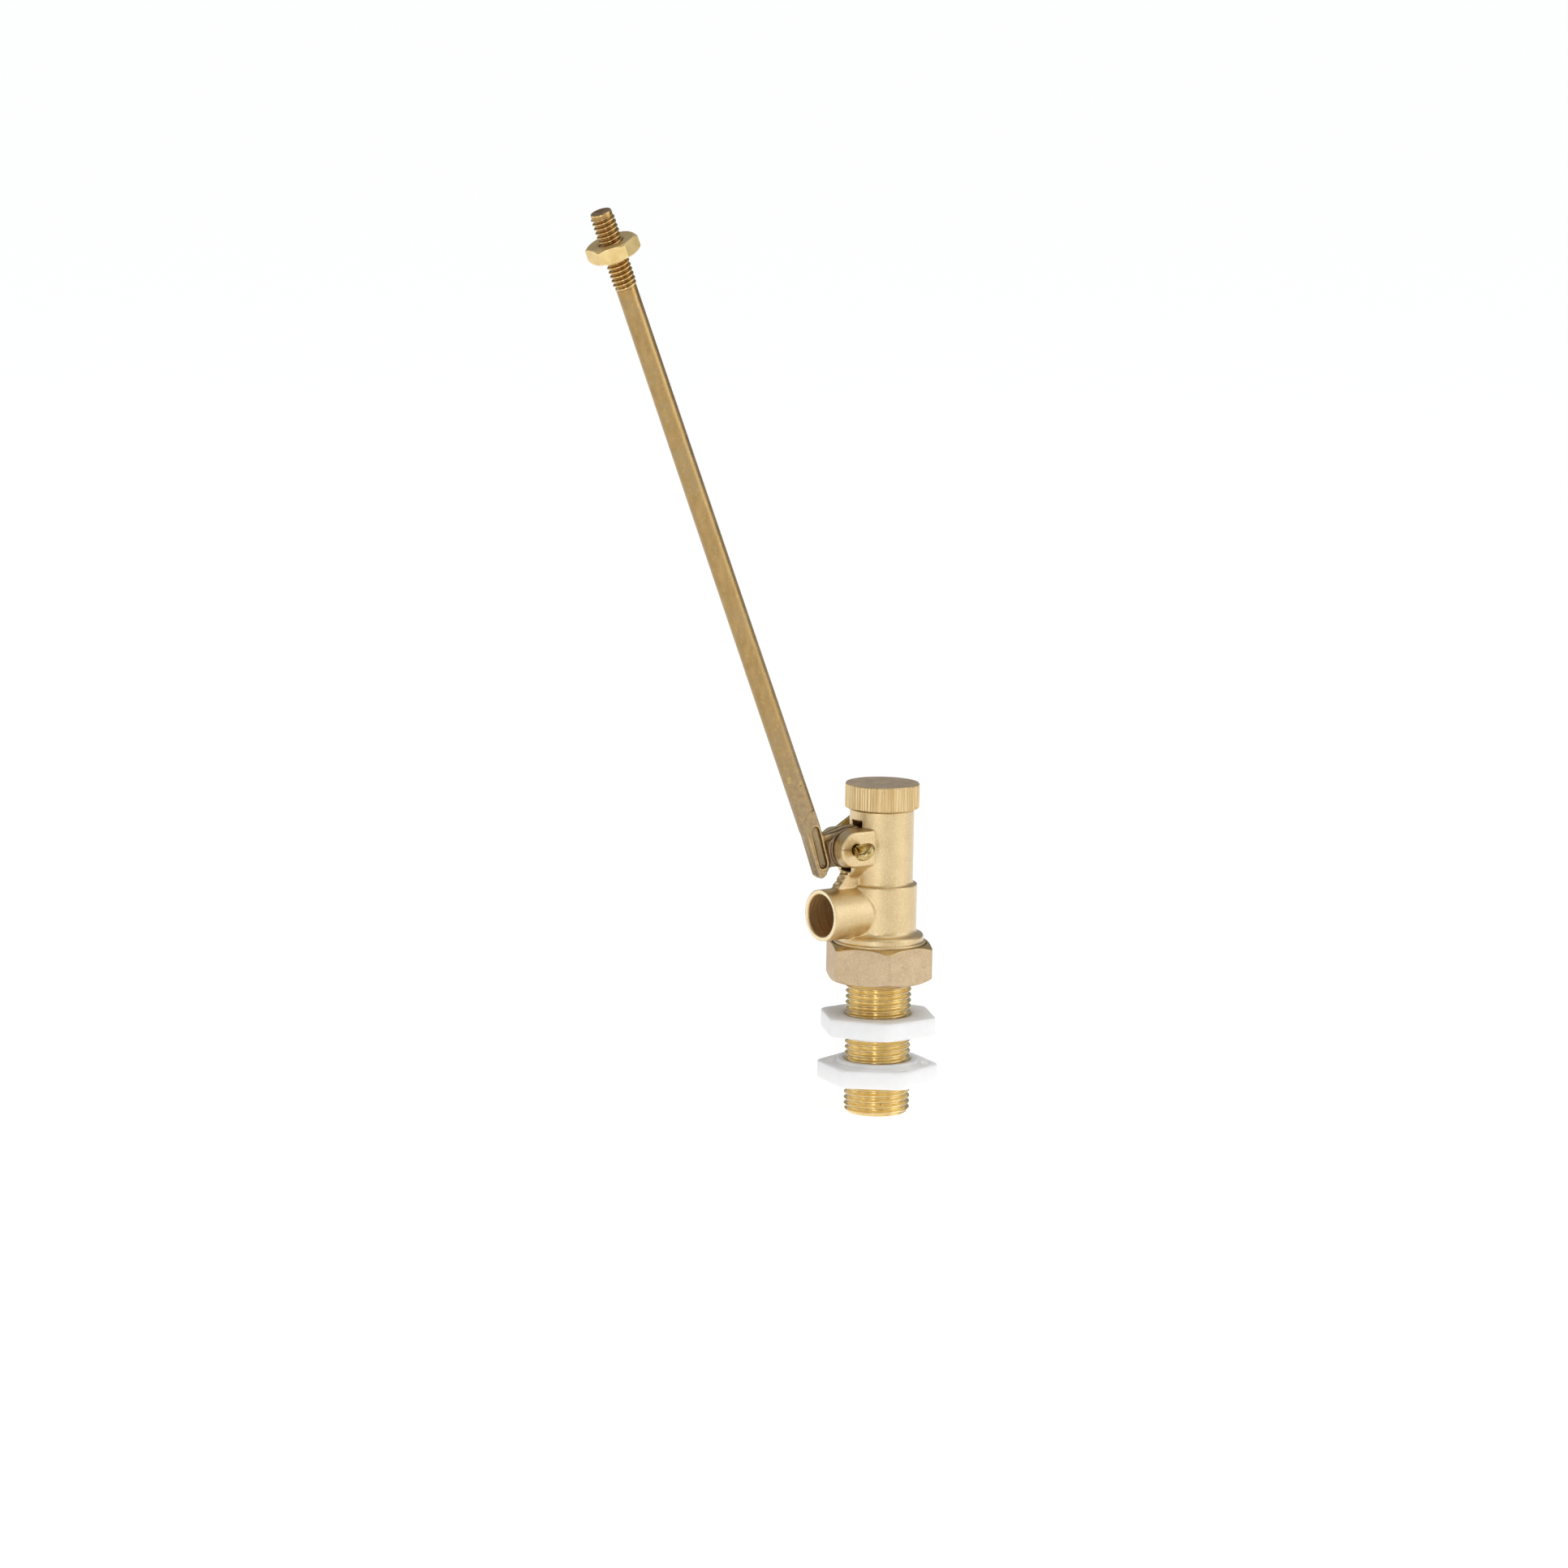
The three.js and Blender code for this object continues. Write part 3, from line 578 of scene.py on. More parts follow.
def make_union_nut():
    base, top = UNION_LOW[2], UNION_HIGH[2]
    corner = UNION.flats / math.sqrt(3)

    def field(x, y, z):
        r = np.hypot(x, y)
        side = slab_hexagon(x, y, UNION.flats, UNION.turn, 1.3)
        shape = rounded(side, np.abs(z - (base + top) / 2) - (top - base) / 2, 0.25)
        upper = chamfer(r, z - top, UNION.top_start, corner, UNION.top_rise)
        lower = chamfer(r, base - z, UNION.base_start, corner, UNION.base_rise)
        shape = soft_max(soft_max(shape, upper, 0.2), lower, 0.45)
        hole = np.minimum(
            post(x, y, z, UNION.hole, base - 5, base + 4, 0.05),
            post(x, y, z, UNION.thread, base + UNION.rim, top + 5, 0.05),
        )
        hole = np.minimum(hole, post(x, y, z, UNION.mouth, top - 1.0, top + 5, 0.05))
        return cut(shape, hole, 0.3)

    return surface("union_nut_hexagon", field, UNION_LOW, UNION_HIGH, NUT_STEP)


def make_backnut(node, name, turn, boss_above):
    low, high = box_mm(node)
    if boss_above:
        base, top, sign = low[2], high[2] - BACKNUT.boss_height, 1
    else:
        base, top, sign = low[2] + BACKNUT.boss_height, high[2], -1
    rim_face = top if boss_above else base

    def field(x, y, z):
        up = (z - rim_face) * sign  # height above the rim on the boss's side
        r = np.hypot(x, y)
        side = slab_hexagon(x, y, BACKNUT.flats, turn, BACKNUT.corner)
        shape = rounded(side, np.abs(z - (base + top) / 2) - (top - base) / 2, 0.45)
        from_corner = (np.arctan2(y, x) - radians(turn) + pi / 6) % (pi / 3) - pi / 6
        pocket = soft_max(side + 2.0, BACKNUT.boss + 1.2 - r, 0.5)
        pocket = soft_max(pocket, np.abs(from_corner) * r - 3.4, 1.2)
        shape = cut(shape, np.maximum(pocket, -up - 1.1), 0.5)
        boss = rounded(r - BACKNUT.boss, np.abs(up + 1) - 1 - BACKNUT.boss_height, 0.4)
        shape = soft_min(shape, boss, 0.4)
        hole = r - BACKNUT.hole - 0.1 * screw_wave(z, np.arctan2(y, x), TAIL.pitch)
        mouth = r - BACKNUT.hole - 0.35 + np.minimum(high[2] - z, z - low[2])
        return cut(shape, np.minimum(hole, mouth), 0.3)

    return surface(name, field, low, high, NUT_STEP)


def make_locknut():
    base = LOCKNUT.centre - LOCKNUT.thickness / 2
    top = LOCKNUT.centre + LOCKNUT.thickness / 2
    flat = LOCKNUT.flats / 2
    corner = LOCKNUT.flats / math.sqrt(3)

    def field(x, y, z):
        r = np.hypot(x, y)
        side = slab_hexagon(x, y, LOCKNUT.flats, LOCKNUT.turn, 0.3)
        shape = rounded(side, np.abs(z - (base + top) / 2) - (top - base) / 2, 0.12)
        upper = chamfer(r, z - top, flat, corner, LOCKNUT.chamfer)
        lower = chamfer(r, base - z, flat, corner, LOCKNUT.chamfer)
        shape = soft_max(soft_max(shape, upper, 0.12), lower, 0.12)
        hole = r - LOCKNUT.hole
        mouth = r - LOCKNUT.hole - 0.5 + np.minimum(top - z, z - base)
        return cut(shape, np.minimum(hole, mouth), 0.15)

    low = np.array([-corner, -corner, base])
    high = np.array([corner, corner, top])
    return surface("locknut_hexagon", field, low, high, FINE_STEP, on_rod)


# -------- lever
HEAD_OUTLINE = [
    (-12.45, 18.2), (-12.45, 11), (-13.05, -3.5), (-12.65, -4.5), (-12.0, -4.85), (-10.6, -4.25),
    (-9.3, -2.9), (-8.4, -1.4), (-7.9, 0.4), (-7.7, 5), (-7.15, 9.5), (-7.15, 18.2),
]
WEB_OUTLINE = [(-9.5, -2.4), (-2, -5.3), (-2, 5.9), (-6.4, 6.8), (-8.6, 9.6)]
FINGER_OUTLINE = [
    (-1, -5.6), (0, -5.8), (5.6, -3.1), (8.1, -1.95), (11.7, -2.45), (11.7, 2.45),
    (8.1, 1.95), (7.0, 3.0), (5.9, 4.9), (4.9, 5.8), (1.3, 6.35), (-1, 6.2),
]


def lever_head_field(x, y, z):
    width = np.abs(y)
    swell = ROD.foot - 0.13 * np.clip(12 - z, 0, 7)
    rod = rounded(np.hypot(x + ROD.offset, y) - swell, np.abs(z - 17.5) - 12.5, 0.3)
    arc = HEAD.flat_top - 0.15 * (x + 9.0) ** 2
    flat = np.maximum(HEAD.half - width, (z - arc) * 0.75 + (HEAD.half - width) * 0.25)
    rod = cut(rod, flat, 0.5)
    plate = rounded(np.maximum(polygon(x, z, HEAD_OUTLINE), z - 18), width - HEAD.half, 0.3)
    shape = soft_min(rod, plate, 0.25)
    outer_edge = -12.45 - 0.041 * np.clip(11 - z, 0, 20)
    flash = np.maximum(np.abs(x - outer_edge) - 0.16, np.maximum(width - 0.2, np.abs(z - 5) - 8.5))
    shape = soft_min(shape, flash, 0.5)
    web = np.maximum(polygon(x, z, WEB_OUTLINE), width - 1.3)
    shape = soft_min(shape, web, 1.6)
    flange = rounded(capsule(x, z, (-8.2, 7.4), (-1.0, 5.4), 1.0), width - 2.0, 0.8)
    shape = soft_min(shape, flange, 1.3)
    eye = rounded(np.hypot(x, z) - 6.4, width - 2.25, 0.45)
    shape = soft_min(shape, eye, 0.9)
    u, w = tilted(x, z, LEAN / 2)
    finger = np.minimum(polygon(u, w, FINGER_OUTLINE), np.hypot(u - 14.6, w) - 3.0)
    finger = rounded(finger, width - 2.0, 0.4)
    shape = soft_min(shape, finger, 0.3)
    strip = np.hypot(x, z) - 6.58 - 0.06 * ripple(x, y, z, 0.3)
    strip = np.maximum(strip, np.maximum(np.abs(y) - 0.42, np.maximum(np.abs(x + 1.2) - 3.0, -z)))
    shape = soft_min(shape, strip, 0.25)
    bowl = capsule(x, z, (-10.5, -0.3), (-9.45, 10.7), 1.55)
    rim = rounded(np.abs(bowl - 0.15) - 0.1, width - HEAD.half - 0.12, 0.1)
    shape = soft_min(shape, rim, 0.6)
    shape = cut(shape, soft_max(bowl * 0.8, 0.75 - width, 1.3), 0.35)
    leaf = capsule(x, z, (-5.6, 7.7), (-3.2, 7.1), 0.7)
    shape = cut(shape, soft_max(leaf, np.abs(y - 1.2) - 0.5, 0.5), 0.4)
    foot = np.hypot(y + 0.5, np.minimum(z + 2.0, 0)) - 2.9
    shape = soft_max(shape, np.where(x < -6.5, foot, -9.0), 0.3)
    return cut(shape, np.hypot(x, z) - 1.85, 0.3)


def make_lever():
    low = np.array([-13.5, -3.5, -6.6])
    high = np.array([18.0, 3.5, 30.2])
    head = surface("lever_forging", lever_head_field, low, high, FINE_STEP, lever_place)
    start = 27.5
    profile = eased([
        (0, start, 0),
        (ROD.foot - 0.06, start, 0),
        (ROD.foot, start + 4, 0),
        (ROD.foot, 60, 0),
        (ROD.top, ROD.thread_start, 0),
        (ROD_THREAD.crest, ROD.thread_start + 0.4, 0),
        (ROD_THREAD.crest, ROD_THREAD.pilot_start, 0),
        (ROD_THREAD.pilot, ROD_THREAD.pilot_start + 0.2, 0),
        (ROD_THREAD.pilot, ROD.tip, 0.45),
        (2.0, ROD.tip - 0.05, 0.3),
        (0, ROD.tip - 0.35, 0),
    ], 0.07)
    profile = to_axis(profile)
    plain = profile[:, 1] < ROD.thread_start - 2
    keep = ~plain | (np.arange(len(profile)) % 28 == 0) | (profile[:, 1] < start + 0.05)
    profile = profile[keep]

    def thread(radius, z, angle):
        wave = screw_wave(z, angle, ROD_THREAD.pitch)
        screw = ROD_THREAD.crest - ROD_THREAD.depth * (1 - wave)
        fade = step_up(z, ROD.thread_start, ROD.thread_start + ROD_THREAD.fade)
        screw = ROD.top * (1 - fade) + screw * fade
        end = 1 - step_up(z, ROD_THREAD.pilot_start - 0.3, ROD_THREAD.pilot_start + 0.3)
        screw = ROD_THREAD.pilot * (1 - end) + screw * end
        threaded = (z > ROD.thread_start) & (z < ROD_THREAD.pilot_start + 0.3) & (radius > 3)
        return np.where(threaded, screw, radius)

    rod = spun("rod", profile, 64, thread, on_rod, on_axis=True)
    return unite(head, rod)


# -------- split pin
def even_curve(points, spacing):
    """Even points along a Catmull-Rom curve through the given ones."""
    pts = np.array(points, float)
    ends = np.vstack([2 * pts[0] - pts[1], pts, 2 * pts[-1] - pts[-2]])
    out = []
    for i in range(1, len(ends) - 2):
        p0, p1, p2, p3 = ends[i - 1 : i + 3]
        for t in np.linspace(0, 1, 16, endpoint=False):
            straight = 2 * p1 + (p2 - p0) * t
            bent = (2 * p0 - 5 * p1 + 4 * p2 - p3) * t ** 2 + (3 * p1 - p0 - 3 * p2 + p3) * t ** 3
            out.append((straight + bent) / 2)
    out = np.array([*out, pts[-1]])
    along = np.concatenate([[0], np.cumsum(np.linalg.norm(np.diff(out, axis=0), axis=1))])
    even = np.linspace(0, along[-1], int(along[-1] / spacing))
    return np.stack([np.interp(even, along, out[:, k]) for k in range(3)], 1)


def pin_leg(side, length):
    """Centre line of one leg, from its free end to where the eye's round end begins."""
    twist, turn = radians(PIN_LEG.twist), radians(PIN_LEG.turn)

    def on_bend(angle, beyond=0.0):
        across = PIN.split + PIN_LEG.bend * (1 - cos(angle)) + beyond * sin(angle)
        along = PIN_LEG.turn_start + PIN_LEG.bend * sin(angle) + beyond * cos(angle)
        return side * across * cos(twist), along, side * across * sin(twist)

    points = [on_bend(turn, length * part) for part in (1, 0.75, 0.5, 0.25)]
    points += [on_bend(turn * k / 8) for k in range(8, -1, -1)]
    points += [(side * PIN.split, along, 0) for along in (4, 0, -4)]
    opening = PIN.eye_half - PIN.split
    for k in range(9):
        across = PIN.split + opening * (1 - cos(pi * k / 8)) / 2
        points.append((side * across, PIN.eye_start - PIN.eye_spread * k / 8, 0))
    return points


def carried_normals(path, middle):
    """Unit normals carried along the path without turning about it, from -Y at its middle."""
    ahead = np.gradient(path, axis=0)
    ahead /= np.linalg.norm(ahead, axis=1)[:, None]
    normals = np.zeros_like(path)
    normals[middle] = (0, -1, 0)
    count = len(path)
    for order in (range(middle + 1, count), range(middle - 1, -1, -1)):
        last = normals[middle]
        for i in order:
            last = last - ahead[i] * (last @ ahead[i])
            last = last / np.linalg.norm(last)
            normals[i] = last
    return normals, np.cross(ahead, normals)


def half_round(radius, soft):
    """Half-round section: its arc, then its flat, with the two corners eased by soft."""
    arc = [(radius * cos(a), radius * sin(a)) for a in np.linspace(-1.35, 1.35, 15)]
    side = radius - soft
    corner = [(soft, radius - soft * 0.25), (soft * 0.25, side)]
    flat = [(0, side * t) for t in (0.6, 0.2, -0.2, -0.6)]
    return np.array(arc + corner + flat + [(u, -v) for u, v in corner[::-1]])


def make_pin():
    far = PIN.eye_start - PIN.eye_spread
    angles = [pi * k / 8 for k in range(1, 8)]
    round_end = [(-PIN.eye_half * cos(a), far - PIN.eye_half * sin(a), 0) for a in angles]
    route = pin_leg(-1, PIN_LENGTHS.short) + round_end + pin_leg(1, PIN_LENGTHS.long)[::-1]
    path = even_curve(route, 0.22)
    middle = int(np.argmin(path[:, 1]))
    normals, sideways = carried_normals(path, middle)
    section = half_round(PIN.radius, 0.2)
    ease = np.minimum(np.arange(len(path)), np.arange(len(path))[::-1]) / 2
    scale = np.where(ease < 1, 0.86 + 0.14 * np.sin(ease * pi / 2), 1.0)
    rings = path[:, None] + scale[:, None, None] * (
        section[None, :, :1] * normals[:, None] + section[None, :, 1:] * sideways[:, None])
    rows, count = rings.shape[:2]
    x, y, z = rings.reshape(-1, 3).T
    across, up = tilted(x, z, radians(PIN.lean))
    points = np.stack([PIVOT[0] + across, y, PIVOT[2] + up], 1)
    faces = [tuple(range(count))[::-1], tuple((rows - 1) * count + k for k in range(count))]
    faces += ring_faces(rows, count, False)
    pin = mesh_object("split_pin_wire", points, faces)
    pin.data.set_sharp_from_angle(angle=radians(50))
    return pin


# -------- materials
class Nodes:
    """Short way to wire a material's nodes."""

    def __init__(self, name):
        self.material = bpy.data.materials.new(name)
        self.material.use_nodes = True
        self.tree = self.material.node_tree
        self.shader = self.tree.nodes["Principled BSDF"]
        self.place = self.tree.nodes.new("ShaderNodeTexCoord").outputs["Object"]

    def link(self, a, b):
        self.tree.links.new(a, b)

    def fill(self, node, values):
        """Sets a node's inputs by name: a socket is linked, anything else is the value."""
        for key, value in values.items():
            socket = node.inputs[key.replace("_", " ").title().replace("Ior", "IOR")]
            if isinstance(value, bpy.types.NodeSocket):
                self.link(value, socket)
            else:
                socket.default_value = value

    def set(self, **values):
        self.fill(self.shader, values)

    def add(self, kind, **values):
        node = self.tree.nodes.new("ShaderNode" + kind)
        self.fill(node, values)
        return node

    def stretched(self, scale):
        return self.add("Mapping", scale=scale, vector=self.place).outputs["Vector"]

    def noise(self, grain_mm, detail=3, rough=0.55, where=None):
        node = self.add("TexNoise", scale=1 / (grain_mm * MM), detail=detail, roughness=rough,
                        vector=where or self.place)
        return node.outputs["Fac"]

    def ramp(self, value, low, high, to_low=0.0, to_high=1.0):
        node = self.add("MapRange", from_min=low, from_max=high, to_min=to_low, to_max=to_high, value=value)
        return node.outputs["Result"]

    def mix(self, factor, a, b):
        node = self.tree.nodes.new("ShaderNodeMix")
        node.data_type = "RGBA"
        self.link(factor, node.inputs["Factor"])
        for socket, value in ((node.inputs[6], a), (node.inputs[7], b)):
            if isinstance(value, tuple):
                socket.default_value = (*value, 1)
            else:
                self.link(value, socket)
        return node.outputs[2]

    def math(self, operation, a, b):
        node = self.tree.nodes.new("ShaderNodeMath")
        node.operation = operation
        for socket, value in zip(node.inputs, (a, b)):
            if isinstance(value, (int, float)):
                socket.default_value = value
            else:
                self.link(value, socket)
        return node.outputs["Value"]

    def times(self, a, b):
        return self.math("MULTIPLY", a, b)

    def plus(self, a, b):
        return self.math("ADD", a, b)

    def minus(self, a, b):
        return self.math("SUBTRACT", a, b)

    def less(self, a, b):
        """1 where a is less than b, else 0."""
        return self.math("LESS_THAN", a, b)

    def along(self):
        """The place as separate x, y and z, in metres."""
        return self.add("SeparateXYZ", vector=self.place).outputs

    def facing_up(self):
        """How far the surface faces up in the rest pose: 1 on a level top, 0 on an upright wall."""
        turn = self.add("VectorTransform", vector=self.add("NewGeometry").outputs["True Normal"])
        turn.vector_type = "NORMAL"
        turn.convert_from, turn.convert_to = "WORLD", "OBJECT"
        return self.add("SeparateXYZ", vector=turn.outputs["Vector"]).outputs["Z"]

    def edges(self, radius_mm):
        """1 on sharp outer edges and crests, 0 elsewhere, from the surface's curvature; marks worn edges, and
        painted highlights on thread crests.
        """
        bend = self.add("NewGeometry").outputs["Pointiness"]
        return self.ramp(bend, 0.5 + 0.02 * radius_mm, 0.5 + 0.08 * radius_mm)

    def bump(self, height, strength, depth_mm, below=None):
        node = self.add("Bump", strength=strength, distance=depth_mm * MM, height=height)
        if below is not None:
            self.link(below, node.inputs["Normal"])
        return node.outputs["Normal"]

    def finish(self, color, roughness, normal=None):
        self.set(base_color=color, roughness=roughness)
        if normal is not None:
            self.link(normal, self.shader.inputs["Normal"])
        return self.material


def cast_brass():
    """Fine sandblasted casting: pale satin gold with bright specks painted in as glints, machined in the outlet.
    """
    n = Nodes("cast_brass")
    n.set(metallic=1.0, coat_weight=0.8, coat_ior=2.2, coat_roughness=0.32)
    blast = n.noise(0.3, 3, 0.7)
    patches = n.noise(6.0, 4, 0.6)
    tone = n.mix(n.ramp(patches, 0.35, 0.65), (0.66, 0.465, 0.18), (0.74, 0.54, 0.235))
    tone = n.mix(n.ramp(blast, 0.46, 0.32, 0.0, 0.6), tone, (0.44, 0.29, 0.11))
    # Bright specks are painted glints of the blasted facets.
    tone = n.mix(n.ramp(blast, 0.55, 0.68, 0.0, 0.65), tone, (0.98, 0.87, 0.62))
    x, y, z = n.along()
    from_tube = n.minus(z, OUTLET.height * MM)
    tube = n.plus(n.math("POWER", y, 2), n.math("POWER", from_tube, 2))
    bore = n.less(tube, ((OUTLET.bore + 0.2) * MM) ** 2)
    bore = n.times(bore, n.less(x, -9 * MM))
    end = n.less(x, (0.1 - OUTLET.reach) * MM)
    lines = n.noise(1.0, 2, 0.6, n.stretched((3.5, 0.1, 0.1)))
    tone = n.mix(bore, tone, n.mix(n.ramp(lines, 0.35, 0.65), (0.42, 0.25, 0.09), (0.80, 0.50, 0.20)))
    n.link(n.minus(1.0, n.times(bore, 0.5)), n.shader.inputs["Metallic"])
    tone = n.mix(end, tone, (0.84, 0.68, 0.38))
    seam_at_origin = (PIVOT[2] - SEAM_DROP + SEAM_TILT * PIVOT[0]) * MM
    seam_height = n.plus(n.times(x, -SEAM_TILT), seam_at_origin)
    from_seam = n.math("ABSOLUTE", n.minus(z, seam_height), 0.0)
    seam = n.ramp(from_seam, 0.10 * MM, 0.28 * MM, 0.9, 0.0)
    seam = n.times(seam, n.less(x, (PIVOT[0] - 1) * MM))
    seam = n.times(seam, n.less(y, -6.0 * MM))
    seam = n.times(seam, n.less((PIVOT[0] - 5.6) * MM, x))
    tone = n.mix(seam, tone, (0.25, 0.15, 0.06))
    machined = n.math("MAXIMUM", bore, end)
    rough = n.plus(n.ramp(blast, 0.3, 0.7, 0.30, 0.42), n.ramp(patches, 0.3, 0.7, -0.04, 0.04))
    rough = n.minus(rough, n.times(machined, 0.14))
    coarse = n.bump(n.noise(1.6, 3, 0.6), 0.35, 0.22)
    grain = n.times(blast, n.ramp(machined, 0.0, 1.0, 1.0, 0.1))
    return n.finish(tone, rough, n.bump(grain, 0.9, 0.10, coarse))


def blasted_brass():
    """Coarser matte blasting with a pinkish cast, and smooth golden turned end chamfers."""
    n = Nodes("blasted_brass")
    n.set(metallic=1.0)
    blast = n.noise(0.28, 3, 0.7)
    patches = n.noise(5.0, 3, 0.6)
    tone = n.mix(n.ramp(patches, 0.35, 0.65), (0.60, 0.455, 0.29), (0.69, 0.53, 0.345))
    tone = n.mix(n.ramp(blast, 0.48, 0.32, 0.0, 0.65), tone, (0.38, 0.26, 0.14))
    # Bright specks are painted glints of the blasted facets.
    tone = n.mix(n.ramp(blast, 0.53, 0.68, 0.0, 0.6), tone, (0.92, 0.79, 0.56))
    specks = n.ramp(n.noise(1.0, 1, 0.5), 0.74, 0.80, 0.0, 0.6)
    tone = n.mix(specks, tone, (0.28, 0.17, 0.07))
    turned = n.ramp(n.facing_up(), 0.18, 0.35)
    edge = n.edges(1.0)
    tone = n.mix(n.math("MAXIMUM", edge, turned), tone, (0.62, 0.44, 0.19))
    rough = n.ramp(blast, 0.3, 0.7, 0.48, 0.62)
    rough = n.minus(rough, n.times(turned, 0.24))
    coarse = n.bump(n.noise(2.2, 3, 0.6), 0.3, 0.2)
    grain = n.times(blast, n.ramp(turned, 0.0, 1.0, 1.0, 0.15))
    return n.finish(tone, rough, n.bump(grain, 0.7, 0.10, coarse))


def turned_brass():
    """Bright machined metal with fine turning lines round the upright axis."""
    n = Nodes("turned_brass")
    n.set(metallic=1.0)
    lines = n.noise(1.0, 2, 0.6, n.stretched((0.15, 0.15, 7.0)))
    patches = n.noise(3.0, 3, 0.6)
    tone = n.mix(n.ramp(patches, 0.35, 0.65), (0.76, 0.58, 0.28), (0.86, 0.70, 0.38))
    stain = n.ramp(n.noise(1.5, 3, 0.6), 0.68, 0.76)
    tone = n.mix(stain, tone, (0.40, 0.26, 0.10))
    rough = n.ramp(lines, 0.3, 0.7, 0.17, 0.28)
    return n.finish(tone, rough, n.bump(lines, 0.12, 0.03))


def machined_brass():
    """Bright pale gold with fine turning lines."""
    n = Nodes("machined_brass")
    n.set(metallic=0.6)
    cloudy = n.noise(3.0, 4, 0.6)
    lines = n.noise(0.5, 3, 0.6, n.stretched((1.0, 1.0, 2.5)))
    tone = n.mix(n.ramp(cloudy, 0.35, 0.65), (0.70, 0.50, 0.19), (0.82, 0.62, 0.28))
    tone = n.mix(n.edges(0.8), tone, (0.92, 0.74, 0.38))
    rough = n.ramp(lines, 0.3, 0.7, 0.30, 0.42)
    return n.finish(tone, rough, n.bump(lines, 0.25, 0.05))


def cap_brass():
    """Knurled sides in pale gold, and a duller brownish turned top with rings round its centre."""
    n = Nodes("cap_brass")
    n.set(metallic=1.0)
    top = n.ramp(n.facing_up(), 0.9, 0.98)
    x, y = n.along()[:2]
    square = n.plus(n.math("POWER", x, 2), n.math("POWER", y, 2))
    radius = n.math("SQRT", square, 0.0)
    rings = n.add("TexNoise", scale=RINGS_PER_METRE, detail=2)
    rings.noise_dimensions = "1D"
    n.link(radius, rings.inputs["W"])
    grain = n.noise(0.5, 3, 0.6)
    cloudy = n.noise(4.0, 4, 0.65)
    streaks = n.ramp(n.noise(1.0, 2, 0.6, n.stretched((2.0, 2.0, 0.05))), 0.32, 0.62)
    side = n.mix(streaks, (0.58, 0.40, 0.17), (0.78, 0.61, 0.34))
    flat = n.mix(n.ramp(cloudy, 0.35, 0.65), (0.76, 0.56, 0.36), (0.98, 0.77, 0.48))
    tone = n.mix(top, side, flat)
    stain = n.ramp(n.noise(1.2, 3, 0.6), 0.66, 0.72)
    tone = n.mix(stain, tone, (0.44, 0.30, 0.13))
    rough = n.mix(top, n.ramp(grain, 0.3, 0.7, 0.34, 0.46), n.ramp(rings.outputs["Fac"], 0.3, 0.7, 0.30, 0.42))
    height = n.times(rings.outputs["Fac"], top)
    normal = n.bump(height, 0.35, 0.03, n.bump(grain, 0.3, 0.05))
    return n.finish(tone, rough, normal)


